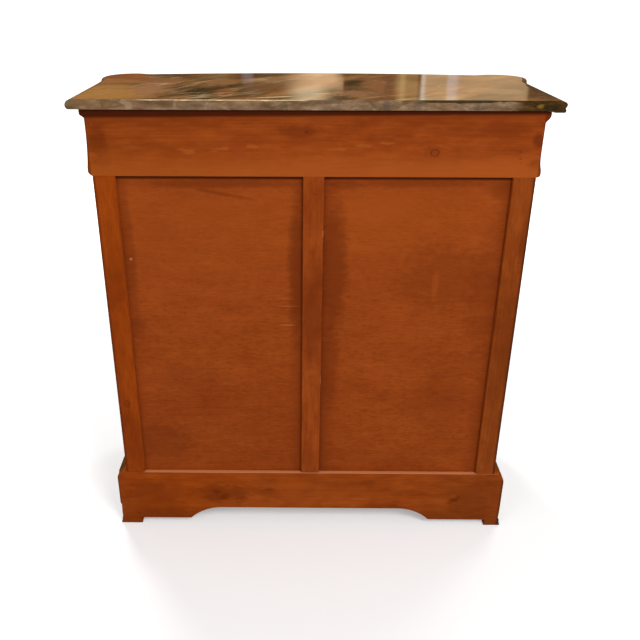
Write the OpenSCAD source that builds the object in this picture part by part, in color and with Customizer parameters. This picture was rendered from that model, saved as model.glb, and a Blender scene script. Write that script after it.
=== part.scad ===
// Bedside pot cupboard: a marble top, a frieze with one drawer, a two-door cupboard and a plinth on feet.
// Millimetres. +Z is up and the front faces -Y. The origin is on the floor, under the middle of the whole.
// Every level of the carcass follows one plan curve: straight sides that swell into rounded front corners,
// then a shallow dip and a bowed middle. The curve is drawn once and set in or out for each level.

/* [Marble top] */
// Width of the top between its straight side arrises
marble_w = 800; // [700:1:900]
// Depth of the top from its sawn back to its front arris
marble_d = 358; // [330:1:400]
// Thickness of the slab
marble_t = 16; // [12:1:25]
// How far the moulded edge stands out past the arris
edge_out = 10; // [6:1:12]
// Height of the bead along the bottom of the edge
edge_bead_h = 5.5; // [3:0.5:6]
// How far that bead keeps inside the roll above it
edge_bead_in = 1; // [0:0.5:3]
// Height of the quirk between the bead and the roll
edge_quirk_h = 1; // [0.5:0.5:2]
// Depth of the quirk
edge_quirk = 3; // [1:0.5:5]
// How far the slab lips over the back of the carcass
back_lip = 5; // [0:1:12]

/* [Plan curve] */
// Centre of a rounded front corner, in from the side arris
ear_in = 34; // [30:1:44]
// Centre of a rounded front corner, back from the middle of the front arris
ear_back = 63; // [55:1:70]
// Radius of a rounded front corner at the arris
ear_r = 49; // [46:1:55]
// Radius of the bowed front at the arris
bow_r = 2100; // [1900:10:2600]
// Radius of the dip between the bow and a corner
dip_r = 30; // [20:1:40]
// Radius of the hollow where a side begins to swell
swell_r = 340; // [260:10:400]

/* [Set back from the arris] */
// Cornice moulding
cornice_in = 12; // [10:0.5:14]
// Frieze
frieze_in = 20; // [18:0.5:21]
// Bead along the foot of the frieze
bead_in = 16.5; // [15:0.5:17.5]
// Sides and posts of the carcass
carcass_in = 23; // [22:0.5:25]
// Plinth
plinth_in = 1.5; // [0:0.5:6]
// Doors
door_in = 24; // [23:0.5:28]

/* [Heights] */
// Feet
foot_h = 14.5; // [10:0.5:20]
// Plinth boards at the front and sides
plinth_h = 101.5; // [85:0.5:115]
// Ogee moulding on top of them
ogee_h = 38; // [30:1:46]
// Plinth board at the back
plinth_back_h = 118; // [105:0.5:128]
// Cupboard, from its floor to the frieze
cupboard_h = 593; // [520:1:660]
// Frieze
frieze_h = 111; // [100:1:130]
// Cornice moulding at the head of the frieze
cornice_h = 22; // [16:1:26]
// Start of the bead above the foot of the frieze
bead_low = 3; // [2:0.5:5]
// Height of the bead
bead_h = 8; // [6:0.5:10]

/* [Carcass boards] */
// Thickness of the side boards
side_t = 18; // [15:0.5:22]
// Thickness of the back framing
back_t = 20; // [16:0.5:24]
// Width of a back stile
back_stile_w = 38; // [32:1:50]
// Width of the back muntin
muntin_w = 36; // [30:1:50]
// Thickness of the back panels
back_panel_t = 8; // [6:0.5:9]
// How far the back panels lie behind the framing
back_recess = 7; // [5:0.5:9]
// Depth of the grooves that hold the panels
groove_d = 8; // [6:0.5:10]
// Thickness of the cupboard floor
floor_t = 18; // [14:0.5:22]
// Thickness of the shelf
shelf_t = 16; // [12:0.5:20]
// Height of the shelf above the cupboard floor
shelf_up = 286; // [200:1:380]
// How far the shelf keeps behind the corner posts
shelf_back = 5; // [2:1:40]
// Width of a shelf cleat
cleat_w = 14; // [10:1:20]
// Height of a shelf cleat
cleat_h = 14; // [10:1:20]
// Length that a cleat stops short of the shelf at each end
cleat_short = 18; // [5:1:40]

/* [Corner posts] */
// Width of a post, in from the side
post_w = 36; // [33:1:44]
// Depth of a post behind the centre of its rounded corner
post_d = 26; // [22:1:40]

/* [Plinth cut-outs] */
// Half width of the level part of the arch
arch_half = 170; // [120:1:190]
// Height of the arch above the plinth's lower edge
arch_h = 28; // [18:1:40]
// Radius of the sweep at each end of the arch
arch_r = 138; // [100:1:160]

/* [Feet] */
// Width and depth of a foot
foot_w = 40; // [32:1:48]
// How far a foot keeps inside the plinth
foot_in = 1; // [0:0.5:4]
// How far the toe of a back foot flares
foot_flare = 2; // [0:0.5:4]
// Height of the flared toe
toe_h = 5; // [3:0.5:8]

/* [Drawer] */
// Height of the drawer rail
rail_h = 16; // [12:1:22]
// Clearance round the drawer front
drawer_gap = 1.5; // [1:0.1:3]
// Least thickness of the drawer front, at its ends
drawer_front_t = 18; // [14:0.5:24]
// How far the drawer sides keep inside the ends of its front
drawer_side_in = 1; // [0.5:0.5:3]
// Thickness of the drawer sides and back
drawer_side_t = 11; // [8:0.5:14]
// How far the drawer stops short of the back framing
drawer_short = 19; // [12:1:60]
// Thickness of the drawer bottom
drawer_bottom_t = 6; // [4:0.5:8]
// Height of the drawer bottom above the lower edge of the sides
drawer_bottom_up = 6; // [4:0.5:10]
// Depth of the grooves that hold the drawer bottom
drawer_groove = 5; // [3:0.5:7]
// How much lower the drawer sides are than its front
drawer_side_low = 3; // [1:0.5:8]
// Width of a runner under a drawer side
runner_w = 39; // [33:1:45]
// Height of the guide beside a drawer side
guide_h = 22; // [12:1:30]
// Thickness of the kickers over the drawer sides
kicker_t = 20; // [14:1:24]
// Height of the stop blocks behind the drawer front
stop_h = 5; // [3:0.5:5]
// Width of a stop block
stop_w = 40; // [20:1:60]
// Distance of a stop block from the middle
stop_x = 120; // [60:1:180]

/* [Drawer knobs] */
// Distance of a knob from the middle
knob_x = 190; // [120:1:240]
// Radius of a knob's head
knob_r = 14; // [10:0.5:18]
// How far a knob stands out
knob_l = 24; // [16:1:26]
// Radius of a knob's neck
neck_r = 6; // [4:0.5:8]
// Radius of the spigot in the drawer front
spigot_r = 5; // [3:0.5:6]
// Length of the spigot
spigot_l = 15; // [10:1:17]

/* [Doors] */
// Clearance above, below and between the doors
door_gap = 2; // [1:0.1:3]
// Thickness of the doors
door_t = 22; // [18:0.5:24]
// Width of the door stiles
door_stile_w = 60; // [45:1:80]
// Height of the top rail of a door
door_top_rail_h = 60; // [45:1:80]
// Height of the bottom rail of a door
door_bottom_rail_h = 75; // [50:1:95]
// Thickness of a door panel at its edge
door_panel_t = 8; // [6:0.5:9]
// Depth of a door panel's edge behind the door's face
door_panel_in = 7; // [5:0.5:8]
// Width of the flat border round the raised field
field_margin = 24; // [15:1:40]
// Height of the raised field
field_h = 4; // [2:0.5:5]
// Distance of a door stop from the middle
door_stop_x = 150; // [90:1:220]
// Width of a door stop
door_stop_w = 40; // [20:1:60]
// Height of a door stop
door_stop_h = 14; // [8:1:20]
// Depth of a door stop
door_stop_d = 16; // [10:1:24]

/* [Hinges] */
// Gap between a post and its door, which holds both leaves
hinge_gap = 2.5; // [2.2:0.1:3]
// Thickness of a leaf
leaf_t = 1; // [0.8:0.05:1]
// Depth of a leaf behind the pin
leaf_d = 26; // [22:1:30]
// Height of a hinge
hinge_h = 60; // [45:1:80]
// Radius of a knuckle
knuckle_r = 3.5; // [3:0.1:4]
// Radius of the pin
hinge_pin_r = 1.5; // [1.2:0.1:2]
// How far the pin stands forward of the post
pin_forward = 1.8; // [1:0.1:3]
// Distance of a hinge from the end of its door
hinge_off = 90; // [60:1:140]

/* [Screws and nails] */
// Distance of a leaf screw behind the pin
screw_back = 15; // [12:0.5:18]
// Distance of a leaf screw from the middle of its hinge
screw_off = 18; // [12:1:20]
// Radius of a screw's head
screw_head_r = 2.6; // [2:0.1:3]
// Radius of a screw's shank
screw_r = 1.4; // [1:0.1:1.6]
// Length of a screw
screw_l = 14; // [8:1:18]
// Radius of a nail's head
nail_head_r = 1.8; // [1.4:0.1:2.2]
// Thickness of a nail's head
nail_head_t = 1; // [0.6:0.1:1.5]
// Radius of a nail's shank
nail_r = 1.1; // [0.8:0.1:1.3]
// Length of a nail
nail_l = 32; // [26:1:38]
// Distance of a nail from the end of its board
nail_in = 10.5; // [8:0.5:12]
// Distance of a nail from the upper or lower edge of its board
nail_edge = 24; // [16:1:34]

/* [Lock and key] */
// Height of the lock's middle above the cupboard floor
lock_up = 300; // [150:1:450]
// Distance of the lock from the edge of its door
lock_in = 3; // [2:0.5:6]
// Width of the lock case
lock_w = 42; // [38:1:50]
// Height of the lock case
lock_h = 60; // [50:1:80]
// Thickness of the lock case
lock_t = 13; // [12:0.5:16]
// Wall of the lock case
lock_wall = 1; // [0.8:0.1:1.4]
// Distance of the key from the case's edge
key_in = 21; // [19:0.5:24]
// Radius of the key's shank
key_r = 2.5; // [2:0.1:3]
// Length of the key that stands out of the door
key_out = 28; // [24:1:32]
// Radius of the key's ring
key_ring_r = 10; // [8:0.5:12]
// How far the key's collar stands out round its shank
key_collar = 1; // [0.5:0.25:1.5]
// Thickness of the key's ring
key_ring_t = 3; // [2:0.5:4]
// Radius that the key's bit reaches
bit_r = 9; // [7:0.5:11]
// Width of the key's bit along the shank
bit_w = 4; // [3:0.5:5]
// Thickness of the key's bit
bit_t = 2; // [1.5:0.1:2.4]
// Thickness of the lock bolt
bolt_t = 3; // [2:0.5:4]
// Height of the lock bolt
bolt_h = 12; // [8:0.5:16]
// Length of the lock bolt
bolt_l = 27; // [20:1:30]
// Throw of the lock bolt
bolt_throw = 7; // [5:0.5:9]

/* [Door bolt] */
// Distance of the bolt from the edge of its door
slide_in = 19; // [14:1:30]
// Radius of the bolt
slide_r = 3; // [2.5:0.1:4]
// Throw of the bolt
slide_throw = 12; // [8:1:14]
// Length of the bolt's plate
slide_plate_h = 60; // [50:1:80]
// Width of the bolt's plate
slide_plate_w = 16; // [14:1:24]
// Thickness of the bolt's plate
slide_plate_t = 1.5; // [1:0.1:2.5]
// Distance of the plate below the top of its door
slide_down = 10; // [6:1:30]
// Length of a guide on the plate
slide_guide_h = 8; // [6:1:12]
// Wall of a guide round the bolt
slide_guide_wall = 2; // [1.5:0.1:3]
// Radius of the bolt's finger knob
slide_knob_r = 2.5; // [2:0.1:3]
// Length of the bolt's finger knob
slide_knob_l = 8; // [5:0.5:12]
// How far the resting bolt stops short of the drawer rail
slide_short = 5; // [3:0.5:8]

/* [Clearances] */
// Gap between pieces that are curved where they meet, or that slide in wood
fit_gap = 0.3; // [0.2:0.05:0.5]
// Gap round a pin that turns or slides in metal
pin_gap = 0.05; // [0.02:0.01:0.1]

/* [Hidden] */
$fn = 64;

left = -1;
right = 1;
// A little more than any cut needs, so that it runs clean through
cut = 1;

// Levels
plinth_top = foot_h + plinth_h;
floor_z = plinth_top + ogee_h;
frieze_z = floor_z + cupboard_h;
marble_z = frieze_z + frieze_h;
cornice_z = marble_z - cornice_h;
bead_z = frieze_z + bead_low;
plinth_back_top = foot_h + plinth_back_h;
shelf_z = floor_z + shelf_up;
drawer_z = frieze_z + rail_h;

// Depths
back_y = (marble_d + edge_out) / 2;
board_y = back_y - back_lip;
frame_y = board_y - back_t;
ear_y = back_y - marble_d + ear_back;
post_back = ear_y + post_d;
far = marble_w + marble_d;

// Widths
half_w = marble_w / 2;
ear_x = half_w - ear_in;
side_x = half_w - carcass_in;
side_in = side_x - side_t;
post_in = side_x - post_w;
stile_in = side_x - back_stile_w;

// The plan curve: centres of its arcs
ear_c = [ear_x, ear_y];
bow_c = [0, back_y - marble_d + bow_r];
dip_c = touching_centre(bow_c, bow_r + dip_r, ear_c, ear_r + dip_r);
swell_c = [half_w + swell_r, ear_y + sqrt(pow(ear_r + swell_r, 2) - pow(half_w + swell_r - ear_x, 2))];
bow_steps = 12;
corner_steps = 9;
swell_steps = 6;

// Where two circles about a and b meet, on the side nearer the middle of the front
function touching_centre(a, ra, b, rb) =
  let (d = norm(b - a), along = (ra * ra - rb * rb + d * d) / (2 * d), off = sqrt(ra * ra - along * along))
  let (u = (b - a) / d)
  a + along * u + off * [u[1], -u[0]];

// Points of an arc from angle a0 up to, and without, angle a1
function arc(c, r, a0, a1, steps) =
  [for (i = [0:steps - 1]) c + r * [cos(a0 + (a1 - a0) * i / steps), sin(a0 + (a1 - a0) * i / steps)]];
function heading(a, b) = atan2(b[1] - a[1], b[0] - a[0]);

// Right half of the plan, out from the arris by e, from the middle of the front to the back corner
function half_plan(e) = concat(
  arc(bow_c, bow_r + e, -90, heading(bow_c, dip_c), bow_steps),
  arc(dip_c, dip_r - e, heading(dip_c, bow_c), heading(dip_c, ear_c), corner_steps),
  arc(ear_c, ear_r + e, heading(ear_c, dip_c), heading(ear_c, swell_c), 2 * corner_steps),
  arc(swell_c, swell_r - e, heading(swell_c, ear_c), -180, swell_steps),
  [[half_w + e, swell_c[1]], [half_w + e, back_y]]
);

module plan(e) {
  points = half_plan(e);
  others = [for (i = [len(points) - 1:-1:1]) [-points[i][0], points[i][1]]];
  polygon(concat(points, others));
}

// The bowed front at distance x from the middle, out from the arris by e
function bow_y(x, e) = bow_c[1] - sqrt(pow(bow_r + e, 2) - x * x);

// Strip of the bow between two distances from the arris
module bow_band(outer, inner, x0, x1) {
  xs = [for (i = [0:bow_steps]) x0 + (x1 - x0) * i / bow_steps];
  face = [for (x = xs) [x, bow_y(x, outer)]];
  back = [for (i = [bow_steps:-1:0]) [xs[i], bow_y(xs[i], inner)]];
  polygon(concat(face, back));
}

module zone(x0, x1, y0, y1) {
  translate([x0, y0]) square([x1 - x0, y1 - y0]);
}

module level(z0, z1) {
  translate([0, 0, z0]) linear_extrude(z1 - z0) children();
}

module block(x0, x1, y0, y1, z0, z1) {
  level(z0, z1) zone(x0, x1, y0, y1);
}

module on_side(side) {
  mirror([side == left ? 1 : 0, 0, 0]) children();
}

// A 2D outline in X and Z, standing between two depths
module standing(y0, y1) {
  translate([0, y1, 0]) rotate([90, 0, 0]) linear_extrude(y1 - y0) children();
}

// ---- Marble top ----

// The moulded edge: a rolled arris over a quirk and a bead
roll_steps = 5;
roll_z = marble_z + edge_bead_h + edge_quirk_h;
roll_h = marble_t - edge_bead_h - edge_quirk_h;

module marble_top() {
  color("tan") {
    level(marble_z, marble_z + edge_bead_h) plan(edge_out - edge_bead_in);
    level(marble_z + edge_bead_h, roll_z) plan(edge_out - edge_quirk);
    for (i = [0:roll_steps - 1]) {
      z0 = roll_z + roll_h * i / roll_steps;
      level(z0, z0 + roll_h / roll_steps) plan(edge_out * sqrt(1 - pow(i / roll_steps, 2)));
    }
  }
}

// ---- Frieze ----

// Outline of the cornice at a height fraction t above its foot: a hollow that turns into a fillet
cornice_steps = 4;
function cornice_e(t) = -frieze_in + (frieze_in - cornice_in) * min(1, sin(150 * t + 10));

module cornice_ring() {
  for (i = [0:cornice_steps - 1]) {
    z0 = cornice_z + cornice_h * i / cornice_steps;
    level(z0, z0 + cornice_h / cornice_steps) difference() {
      plan(i == cornice_steps - 1 ? -cornice_in : cornice_e((i + 0.5) / cornice_steps));
      plan(fit_gap - frieze_in);
    }
  }
}

module cornice_front() {
  color("saddlebrown") {
    intersection() {
      cornice_ring();
      block(-far, far, -far, ear_y, cornice_z, marble_z);
    }
    level(cornice_z, marble_z) intersection() {
      plan(cut - frieze_in);
      zone(-post_in, post_in, -far, post_back);
    }
  }
}

module cornice_side(side) {
  color("saddlebrown") on_side(side) intersection() {
    cornice_ring();
    block(0, far, ear_y, frame_y, cornice_z, marble_z);
  }
}

// The frieze with its bead, standing over part of the plan
module frieze_wood() {
  level(frieze_z, marble_z) intersection() {
    plan(-frieze_in);
    children();
  }
  level(bead_z, bead_z + bead_h) intersection() {
    plan(-bead_in);
    children();
  }
}

module frieze_side(side) {
  color("saddlebrown") difference() {
    on_side(side) frieze_wood() zone(side_in, far, post_back, frame_y);
    nail_holes();
  }
}

// The ends of the back board are cut to the profile of the mouldings that they close
module frieze_outline() {
  bead_x = half_w - bead_in;
  board_x = half_w - frieze_in;
  cornice_x = half_w - cornice_in;
  polygon([
    [0, frieze_z], [board_x - cut, frieze_z], [bead_x - cut, bead_z], [bead_x, bead_z + bead_h / 2],
    [bead_x - cut, bead_z + bead_h], [board_x, bead_z + 2 * bead_h], [board_x, cornice_z],
    [board_x + (cornice_x - board_x) * 0.3, cornice_z + cornice_h * 0.15],
    [board_x + (cornice_x - board_x) * 0.8, cornice_z + cornice_h * 0.3],
    [cornice_x, cornice_z + cornice_h * 0.5], [cornice_x, marble_z], [0, marble_z]
  ]);
}

module frieze_back_board() {
  color("chocolate") difference() {
    for (side = [left, right]) on_side(side) standing(frame_y, board_y) frieze_outline();
    panel_pockets();
    nail_holes();
  }
}

module drawer_rail() {
  color("peru") difference() {
    union() {
      intersection() {
        frieze_wood() zone(-post_in, post_in, -far, post_back);
        block(-far, far, -far, far, frieze_z, drawer_z);
      }
      for (side = [left, right]) on_side(side) block(stop_x - stop_w / 2, stop_x + stop_w / 2,
        drawer_front_y + fit_gap, post_back, drawer_z, drawer_z + stop_h);
    }
    translate([slide_x, slide_y, frieze_z - cut]) cylinder(r = slide_r + fit_gap, h = slide_throw + cut);
  }
}

module drawer_runner(side) {
  color("peru") on_side(side) {
    block(side_in - runner_w, side_in, post_back, frame_y, frieze_z, drawer_z);
    block(drawer_side_x + fit_gap, side_in, post_back, frame_y, drawer_z, drawer_z + guide_h);
  }
}

module drawer_kickers() {
  color("peru") for (side = [left, right]) on_side(side)
    block(side_in - runner_w, side_in, post_back, frame_y, marble_z - kicker_t, marble_z);
}

// ---- Carcass ----

module corner_post(side) {
  color("sienna") difference() {
    on_side(side) {
      level(foot_h, frieze_z) intersection() {
        plan(-carcass_in);
        zone(post_in, far, -far, post_back);
      }
      frieze_wood() zone(post_in, far, -far, post_back);
    }
    hinge_notches(side);
    on_side(side) screw_holes(-1);
  }
}

module side_panel(side) {
  color("sienna") level(foot_h, frieze_z) on_side(side) intersection() {
    plan(-carcass_in);
    zone(side_in, far, post_back, frame_y);
  }
}

module back_stile(side) {
  color("chocolate") difference() {
    on_side(side) block(stile_in, side_x, frame_y, board_y, plinth_back_top, frieze_z);
    panel_pockets();
  }
}

module back_muntin() {
  color("chocolate") difference() {
    block(-muntin_w / 2, muntin_w / 2, frame_y, board_y, plinth_back_top, frieze_z);
    panel_pockets();
  }
}

// A back panel with its edges in the grooves of the framing, larger all round by extra
module panel_body(extra) {
  hold = groove_d - 2 * fit_gap + extra;
  y1 = board_y - back_recess + extra;
  block(muntin_w / 2 - hold, stile_in + hold, y1 - back_panel_t - 2 * extra, y1,
    plinth_back_top - hold, frieze_z + hold);
}

module back_panel(side) {
  color("peru") on_side(side) panel_body(0);
}

module panel_pockets() {
  for (side = [left, right]) on_side(side) panel_body(fit_gap);
}

module bottom_board() {
  color("peru") level(floor_z - floor_t, floor_z) {
    intersection() {
      plan(-carcass_in - fit_gap);
      zone(-post_in, post_in, -far, post_back);
    }
    zone(-side_in, side_in, post_back, frame_y);
  }
}

module shelf() {
  color("peru") block(fit_gap - side_in, side_in - fit_gap, post_back + shelf_back, frame_y - fit_gap,
    shelf_z, shelf_z + shelf_t);
}

module shelf_cleats() {
  color("peru") for (side = [left, right]) on_side(side)
    block(side_in - cleat_w, side_in, post_back + shelf_back + cleat_short, frame_y - cleat_short,
      shelf_z - cleat_h, shelf_z);
}

module door_stops() {
  stop_y = bow_y(door_stop_x + door_stop_w / 2, -door_in - door_t) + fit_gap;
  color("peru") for (side = [left, right]) on_side(side)
    block(door_stop_x - door_stop_w / 2, door_stop_x + door_stop_w / 2, stop_y, stop_y + door_stop_d,
      frieze_z - door_stop_h, frieze_z);
}

// ---- Plinth ----

module arch_cut() {
  arch_z = foot_h + arch_h;
  standing(-far, far) difference() {
    union() {
      translate([-arch_half, 0]) square([2 * arch_half, arch_z]);
      for (side = [left, right]) intersection() {
        translate([side * arch_half, arch_z - arch_r]) circle(arch_r);
        translate([side * far / 2 - far / 2 + (side == left ? -arch_half : arch_half), 0])
          square([far, arch_z]);
      }
    }
    translate([-far, foot_h - arch_r]) square([2 * far, arch_r - foot_h]);
  }
}

module plinth_ring() {
  level(foot_h, plinth_top) difference() {
    plan(-plinth_in);
    plan(fit_gap - carcass_in);
  }
}

module plinth_front() {
  color("sienna") difference() {
    intersection() {
      plinth_ring();
      block(-far, far, -far, ear_y, foot_h, plinth_top);
    }
    arch_cut();
  }
}

module plinth_side(side) {
  color("sienna") difference() {
    intersection() {
      plinth_ring();
      on_side(side) block(0, far, ear_y, frame_y, foot_h, plinth_top);
    }
    nail_holes();
  }
}

// Set-back of the ogee at a height fraction t: a round shoulder below, a hollow above
ogee_steps = 6;
function ogee_e(t) = -plinth_in - (carcass_in - plinth_in) * (1 - cos(180 * t)) / 2;

module ogee_ring() {
  for (i = [0:ogee_steps - 1]) {
    z0 = plinth_top + ogee_h * i / ogee_steps;
    level(z0, z0 + ogee_h / ogee_steps) difference() {
      plan(ogee_e((i + 0.5) / ogee_steps));
      plan(fit_gap - carcass_in);
    }
  }
}

module ogee_front() {
  color("sienna") intersection() {
    ogee_ring();
    block(-far, far, -far, ear_y, plinth_top, floor_z);
  }
}

module ogee_side(side) {
  color("sienna") intersection() {
    ogee_ring();
    on_side(side) block(0, far, ear_y, frame_y, plinth_top, floor_z);
  }
}

// The back board's ends rise as horns that close the ogee mouldings
horn_steps = 12;

module plinth_back_board() {
  ogee = [for (i = [0:horn_steps]) [half_w + ogee_e(i / horn_steps), plinth_top + ogee_h * i / horn_steps]];
  outline = concat([[0, foot_h], [half_w - plinth_in, foot_h]], ogee,
    [[side_x, floor_z], [side_x, plinth_back_top], [0, plinth_back_top]]);
  color("chocolate") difference() {
    for (side = [left, right]) on_side(side) standing(frame_y, board_y) polygon(outline);
    arch_cut();
    panel_pockets();
    nail_holes();
  }
}

module feet() {
  color("sienna") for (side = [left, right]) on_side(side) {
    foot_x = half_w - plinth_in - foot_in;
    block(foot_x - foot_w, foot_x, board_y - foot_w, board_y, 0, foot_h);
    block(foot_x - foot_w - foot_flare, foot_x + foot_flare, board_y - foot_w - foot_flare, board_y,
      0, toe_h);
    level(0, foot_h) intersection() {
      plan(-plinth_in - foot_in);
      zone(ear_x - foot_w / 2, far, -far, ear_y + foot_w / 2);
    }
  }
}

// ---- Drawer ----

// The drawer front is straight inside; drawer_front_y is that inner face
drawer_half = post_in - drawer_gap;
drawer_front_y = bow_y(drawer_half, -frieze_in) + drawer_front_t;
drawer_side_x = drawer_half - drawer_side_in;
drawer_low = drawer_z + drawer_gap;
drawer_high = cornice_z - drawer_gap;
drawer_side_z = drawer_z + fit_gap;
drawer_side_top = drawer_high - drawer_side_low;
drawer_bottom_z = drawer_side_z + drawer_bottom_up;
drawer_back_y = frame_y - drawer_short;

module drawer_front() {
  color("sienna") difference() {
    level(drawer_low, drawer_high) intersection() {
      bow_band(-frieze_in, -frieze_in - far / 4, -drawer_half, drawer_half);
      zone(-far, far, -far, drawer_front_y);
    }
    drawer_bottom_body(fit_gap);
    for (side = [left, right]) knob_place(side) translate([0, 0, -2 * cut])
      cylinder(r = spigot_r + pin_gap, h = spigot_l + 3 * cut);
  }
}

module drawer_side(side) {
  color("burlywood") difference() {
    on_side(side) block(drawer_side_x - drawer_side_t, drawer_side_x, drawer_front_y, drawer_back_y,
      drawer_side_z, drawer_side_top);
    drawer_bottom_body(fit_gap);
  }
}

module drawer_back() {
  inside = drawer_side_x - drawer_side_t;
  color("burlywood") block(-inside, inside, drawer_back_y - drawer_side_t, drawer_back_y,
    drawer_bottom_z + drawer_bottom_t + fit_gap, drawer_side_top);
}

module drawer_bottom_body(extra) {
  reach = drawer_side_x - drawer_side_t + drawer_groove - fit_gap + extra;
  block(-reach, reach, drawer_front_y - drawer_groove + fit_gap - extra, drawer_back_y,
    drawer_bottom_z - extra, drawer_bottom_z + drawer_bottom_t + extra);
}

module drawer_bottom() {
  color("burlywood") drawer_bottom_body(0);
}

// Along the axis of a knob, from the drawer's face into the wood
module knob_place(side) {
  translate([side * knob_x, bow_y(knob_x, -frieze_in), (drawer_low + drawer_high) / 2])
    rotate([-90, 0, 0]) children();
}

module knob_body() {
  rotate_extrude() polygon([
    [0, -knob_l], [knob_r * 0.6, -knob_l], [knob_r * 0.9, -knob_l * 0.9], [knob_r, -knob_l * 0.75],
    [knob_r * 0.85, -knob_l * 0.6], [neck_r, -knob_l * 0.4], [neck_r, -knob_l * 0.15],
    [neck_r * 1.5, -fit_gap * 3], [spigot_r, -fit_gap * 3], [spigot_r, spigot_l], [0, spigot_l]
  ]);
}

module drawer_knobs() {
  color("darkgoldenrod") for (side = [left, right]) knob_place(side) knob_body();
}

// ---- Doors ----

door_edge = post_in - hinge_gap;
door_low = floor_z + door_gap;
door_high = frieze_z - door_gap;
door_mid = door_gap / 2;
panel_x0 = door_mid + door_stile_w;
panel_x1 = door_edge - door_stile_w;
panel_z0 = door_low + door_bottom_rail_h;
panel_z1 = door_high - door_top_rail_h;
door_back = -door_in - door_t;

module door_member(x0, x1, z0, z1) {
  difference() {
    level(z0, z1) bow_band(-door_in, door_back, x0, x1);
    door_panel_body(fit_gap);
  }
}

// A door panel with its edges in the grooves, larger all round by extra
module door_panel_body(extra) {
  hold = groove_d - 2 * fit_gap + extra;
  face = -door_in - door_panel_in + extra;
  level(panel_z0 - hold, panel_z1 + hold)
    bow_band(face, face - door_panel_t - 2 * extra, panel_x0 - hold, panel_x1 + hold);
}

module door_panel(side) {
  face = -door_in - door_panel_in;
  color("peru") on_side(side) {
    door_panel_body(0);
    level(panel_z0 + field_margin, panel_z1 - field_margin)
      bow_band(face + field_h, face - cut, panel_x0 + field_margin, panel_x1 - field_margin);
  }
}

module door_hinge_stile(side) {
  color("sienna") on_side(side) difference() {
    door_member(panel_x1, door_edge, door_low, door_high);
    screw_holes(1);
  }
}

module left_door_meeting_stile() {
  color("sienna") on_side(left) door_member(door_mid, panel_x0, door_low, door_high);
}

module right_door_meeting_stile() {
  color("sienna") difference() {
    door_member(door_mid, panel_x0, door_low, door_high);
    key_hole();
  }
}

module door_top_rail(side) {
  color("sienna") on_side(side) door_member(panel_x0, panel_x1, panel_z1, door_high);
}

module door_bottom_rail(side) {
  color("sienna") on_side(side) door_member(panel_x0, panel_x1, door_low, panel_z0);
}

// ---- Hinges ----

// Face of a post at its inner edge, within the dip of the plan curve
post_face_y = dip_c[1] + sqrt(pow(dip_r + carcass_in, 2) - pow(post_in - dip_c[0], 2));
hinge_x = post_in - hinge_gap / 2;
hinge_y = post_face_y - pin_forward;
hinge_zs = [door_low + hinge_off, door_high - hinge_off];
knuckle_h = hinge_h / 3;
clear_r = knuckle_r + fit_gap;

// One leaf against the plane x = from; outer knuckles belong to the post, the middle one to the door
module leaf(from, outer) {
  own = outer ? [-1, 1] : [0];
  difference() {
    union() {
      block(from, from + leaf_t, hinge_y + clear_r, hinge_y + leaf_d, -hinge_h / 2, hinge_h / 2);
      for (k = own) translate([0, 0, (k - 0.5) * knuckle_h]) {
        short = (knuckle_h - 2 * fit_gap) / knuckle_h;
        translate([0, 0, knuckle_h * (1 - short) / 2]) linear_extrude(knuckle_h * short) {
          translate([hinge_x, hinge_y]) circle(knuckle_r);
          zone(from, from + leaf_t, hinge_y, hinge_y + leaf_d);
        }
      }
    }
    if (!outer) translate([hinge_x, hinge_y, -hinge_h]) cylinder(r = hinge_pin_r + pin_gap, h = 2 * hinge_h);
    for (z = [-screw_off, screw_off]) translate([from, hinge_y + screw_back, z]) rotate([0, 90, 0])
      screw_body(outer ? 1 : -1, fit_gap / 2);
  }
  if (outer) translate([hinge_x, hinge_y, -hinge_h / 2]) cylinder(r = hinge_pin_r, h = hinge_h);
}

module at_hinges(side) {
  on_side(side) for (z = hinge_zs) translate([0, 0, z]) children();
}

module carcass_hinge_leaves() {
  color("darkgoldenrod") for (side = [left, right]) at_hinges(side) leaf(post_in - leaf_t, true);
}

module door_hinge_leaves(side) {
  color("darkgoldenrod") at_hinges(side) leaf(door_edge, false);
}

module hinge_notches(side) {
  at_hinges(side) translate([hinge_x, hinge_y, -hinge_h / 2 - fit_gap])
    cylinder(r = clear_r, h = hinge_h + 2 * fit_gap);
}

// A countersunk screw along +Z through a leaf that lies between 0 and leaf_t. way = 1 enters the wood
// beyond the leaf, and way = -1 the wood before it. It is larger all round by extra.
module screw_body(way, extra) {
  translate([0, 0, way == 1 ? 0 : leaf_t]) mirror([0, 0, way == 1 ? 0 : 1]) {
    cylinder(r1 = screw_head_r + extra, r2 = screw_r + extra, h = leaf_t);
    cylinder(r = screw_r + extra, h = screw_l + extra);
  }
}

// At the screws of the hinges on the right: door = 1 for those in the door's stile, -1 for the post's
module at_screws(door) {
  for (hz = hinge_zs, z = [-screw_off, screw_off])
    translate([door == 1 ? door_edge : post_in - leaf_t, hinge_y + screw_back, hz + z])
      rotate([0, 90, 0]) screw_body(-door, 0);
}

module screw_holes(door) {
  for (hz = hinge_zs, z = [-screw_off, screw_off])
    translate([door == 1 ? door_edge : post_in - leaf_t, hinge_y + screw_back, hz + z])
      rotate([0, 90, 0]) screw_body(-door, fit_gap / 2);
}

module carcass_hinge_screws() {
  color("goldenrod") for (side = [left, right]) on_side(side) at_screws(-1);
}

module door_screws(side) {
  color("goldenrod") on_side(side) at_screws(1);
}

// ---- Lock and key ----

lock_x0 = door_mid + lock_in;
lock_x1 = lock_x0 + lock_w;
lock_y0 = bow_y(lock_x1, door_back) + fit_gap;
lock_y1 = lock_y0 + lock_t;
lock_z = floor_z + lock_up;
key_x = lock_x0 + key_in;
bolt_y0 = lock_y0 + lock_wall + fit_gap;
bit_y0 = bolt_y0 + bolt_t + fit_gap;
bolt_z0 = lock_z + key_r + 2 * fit_gap;

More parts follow.
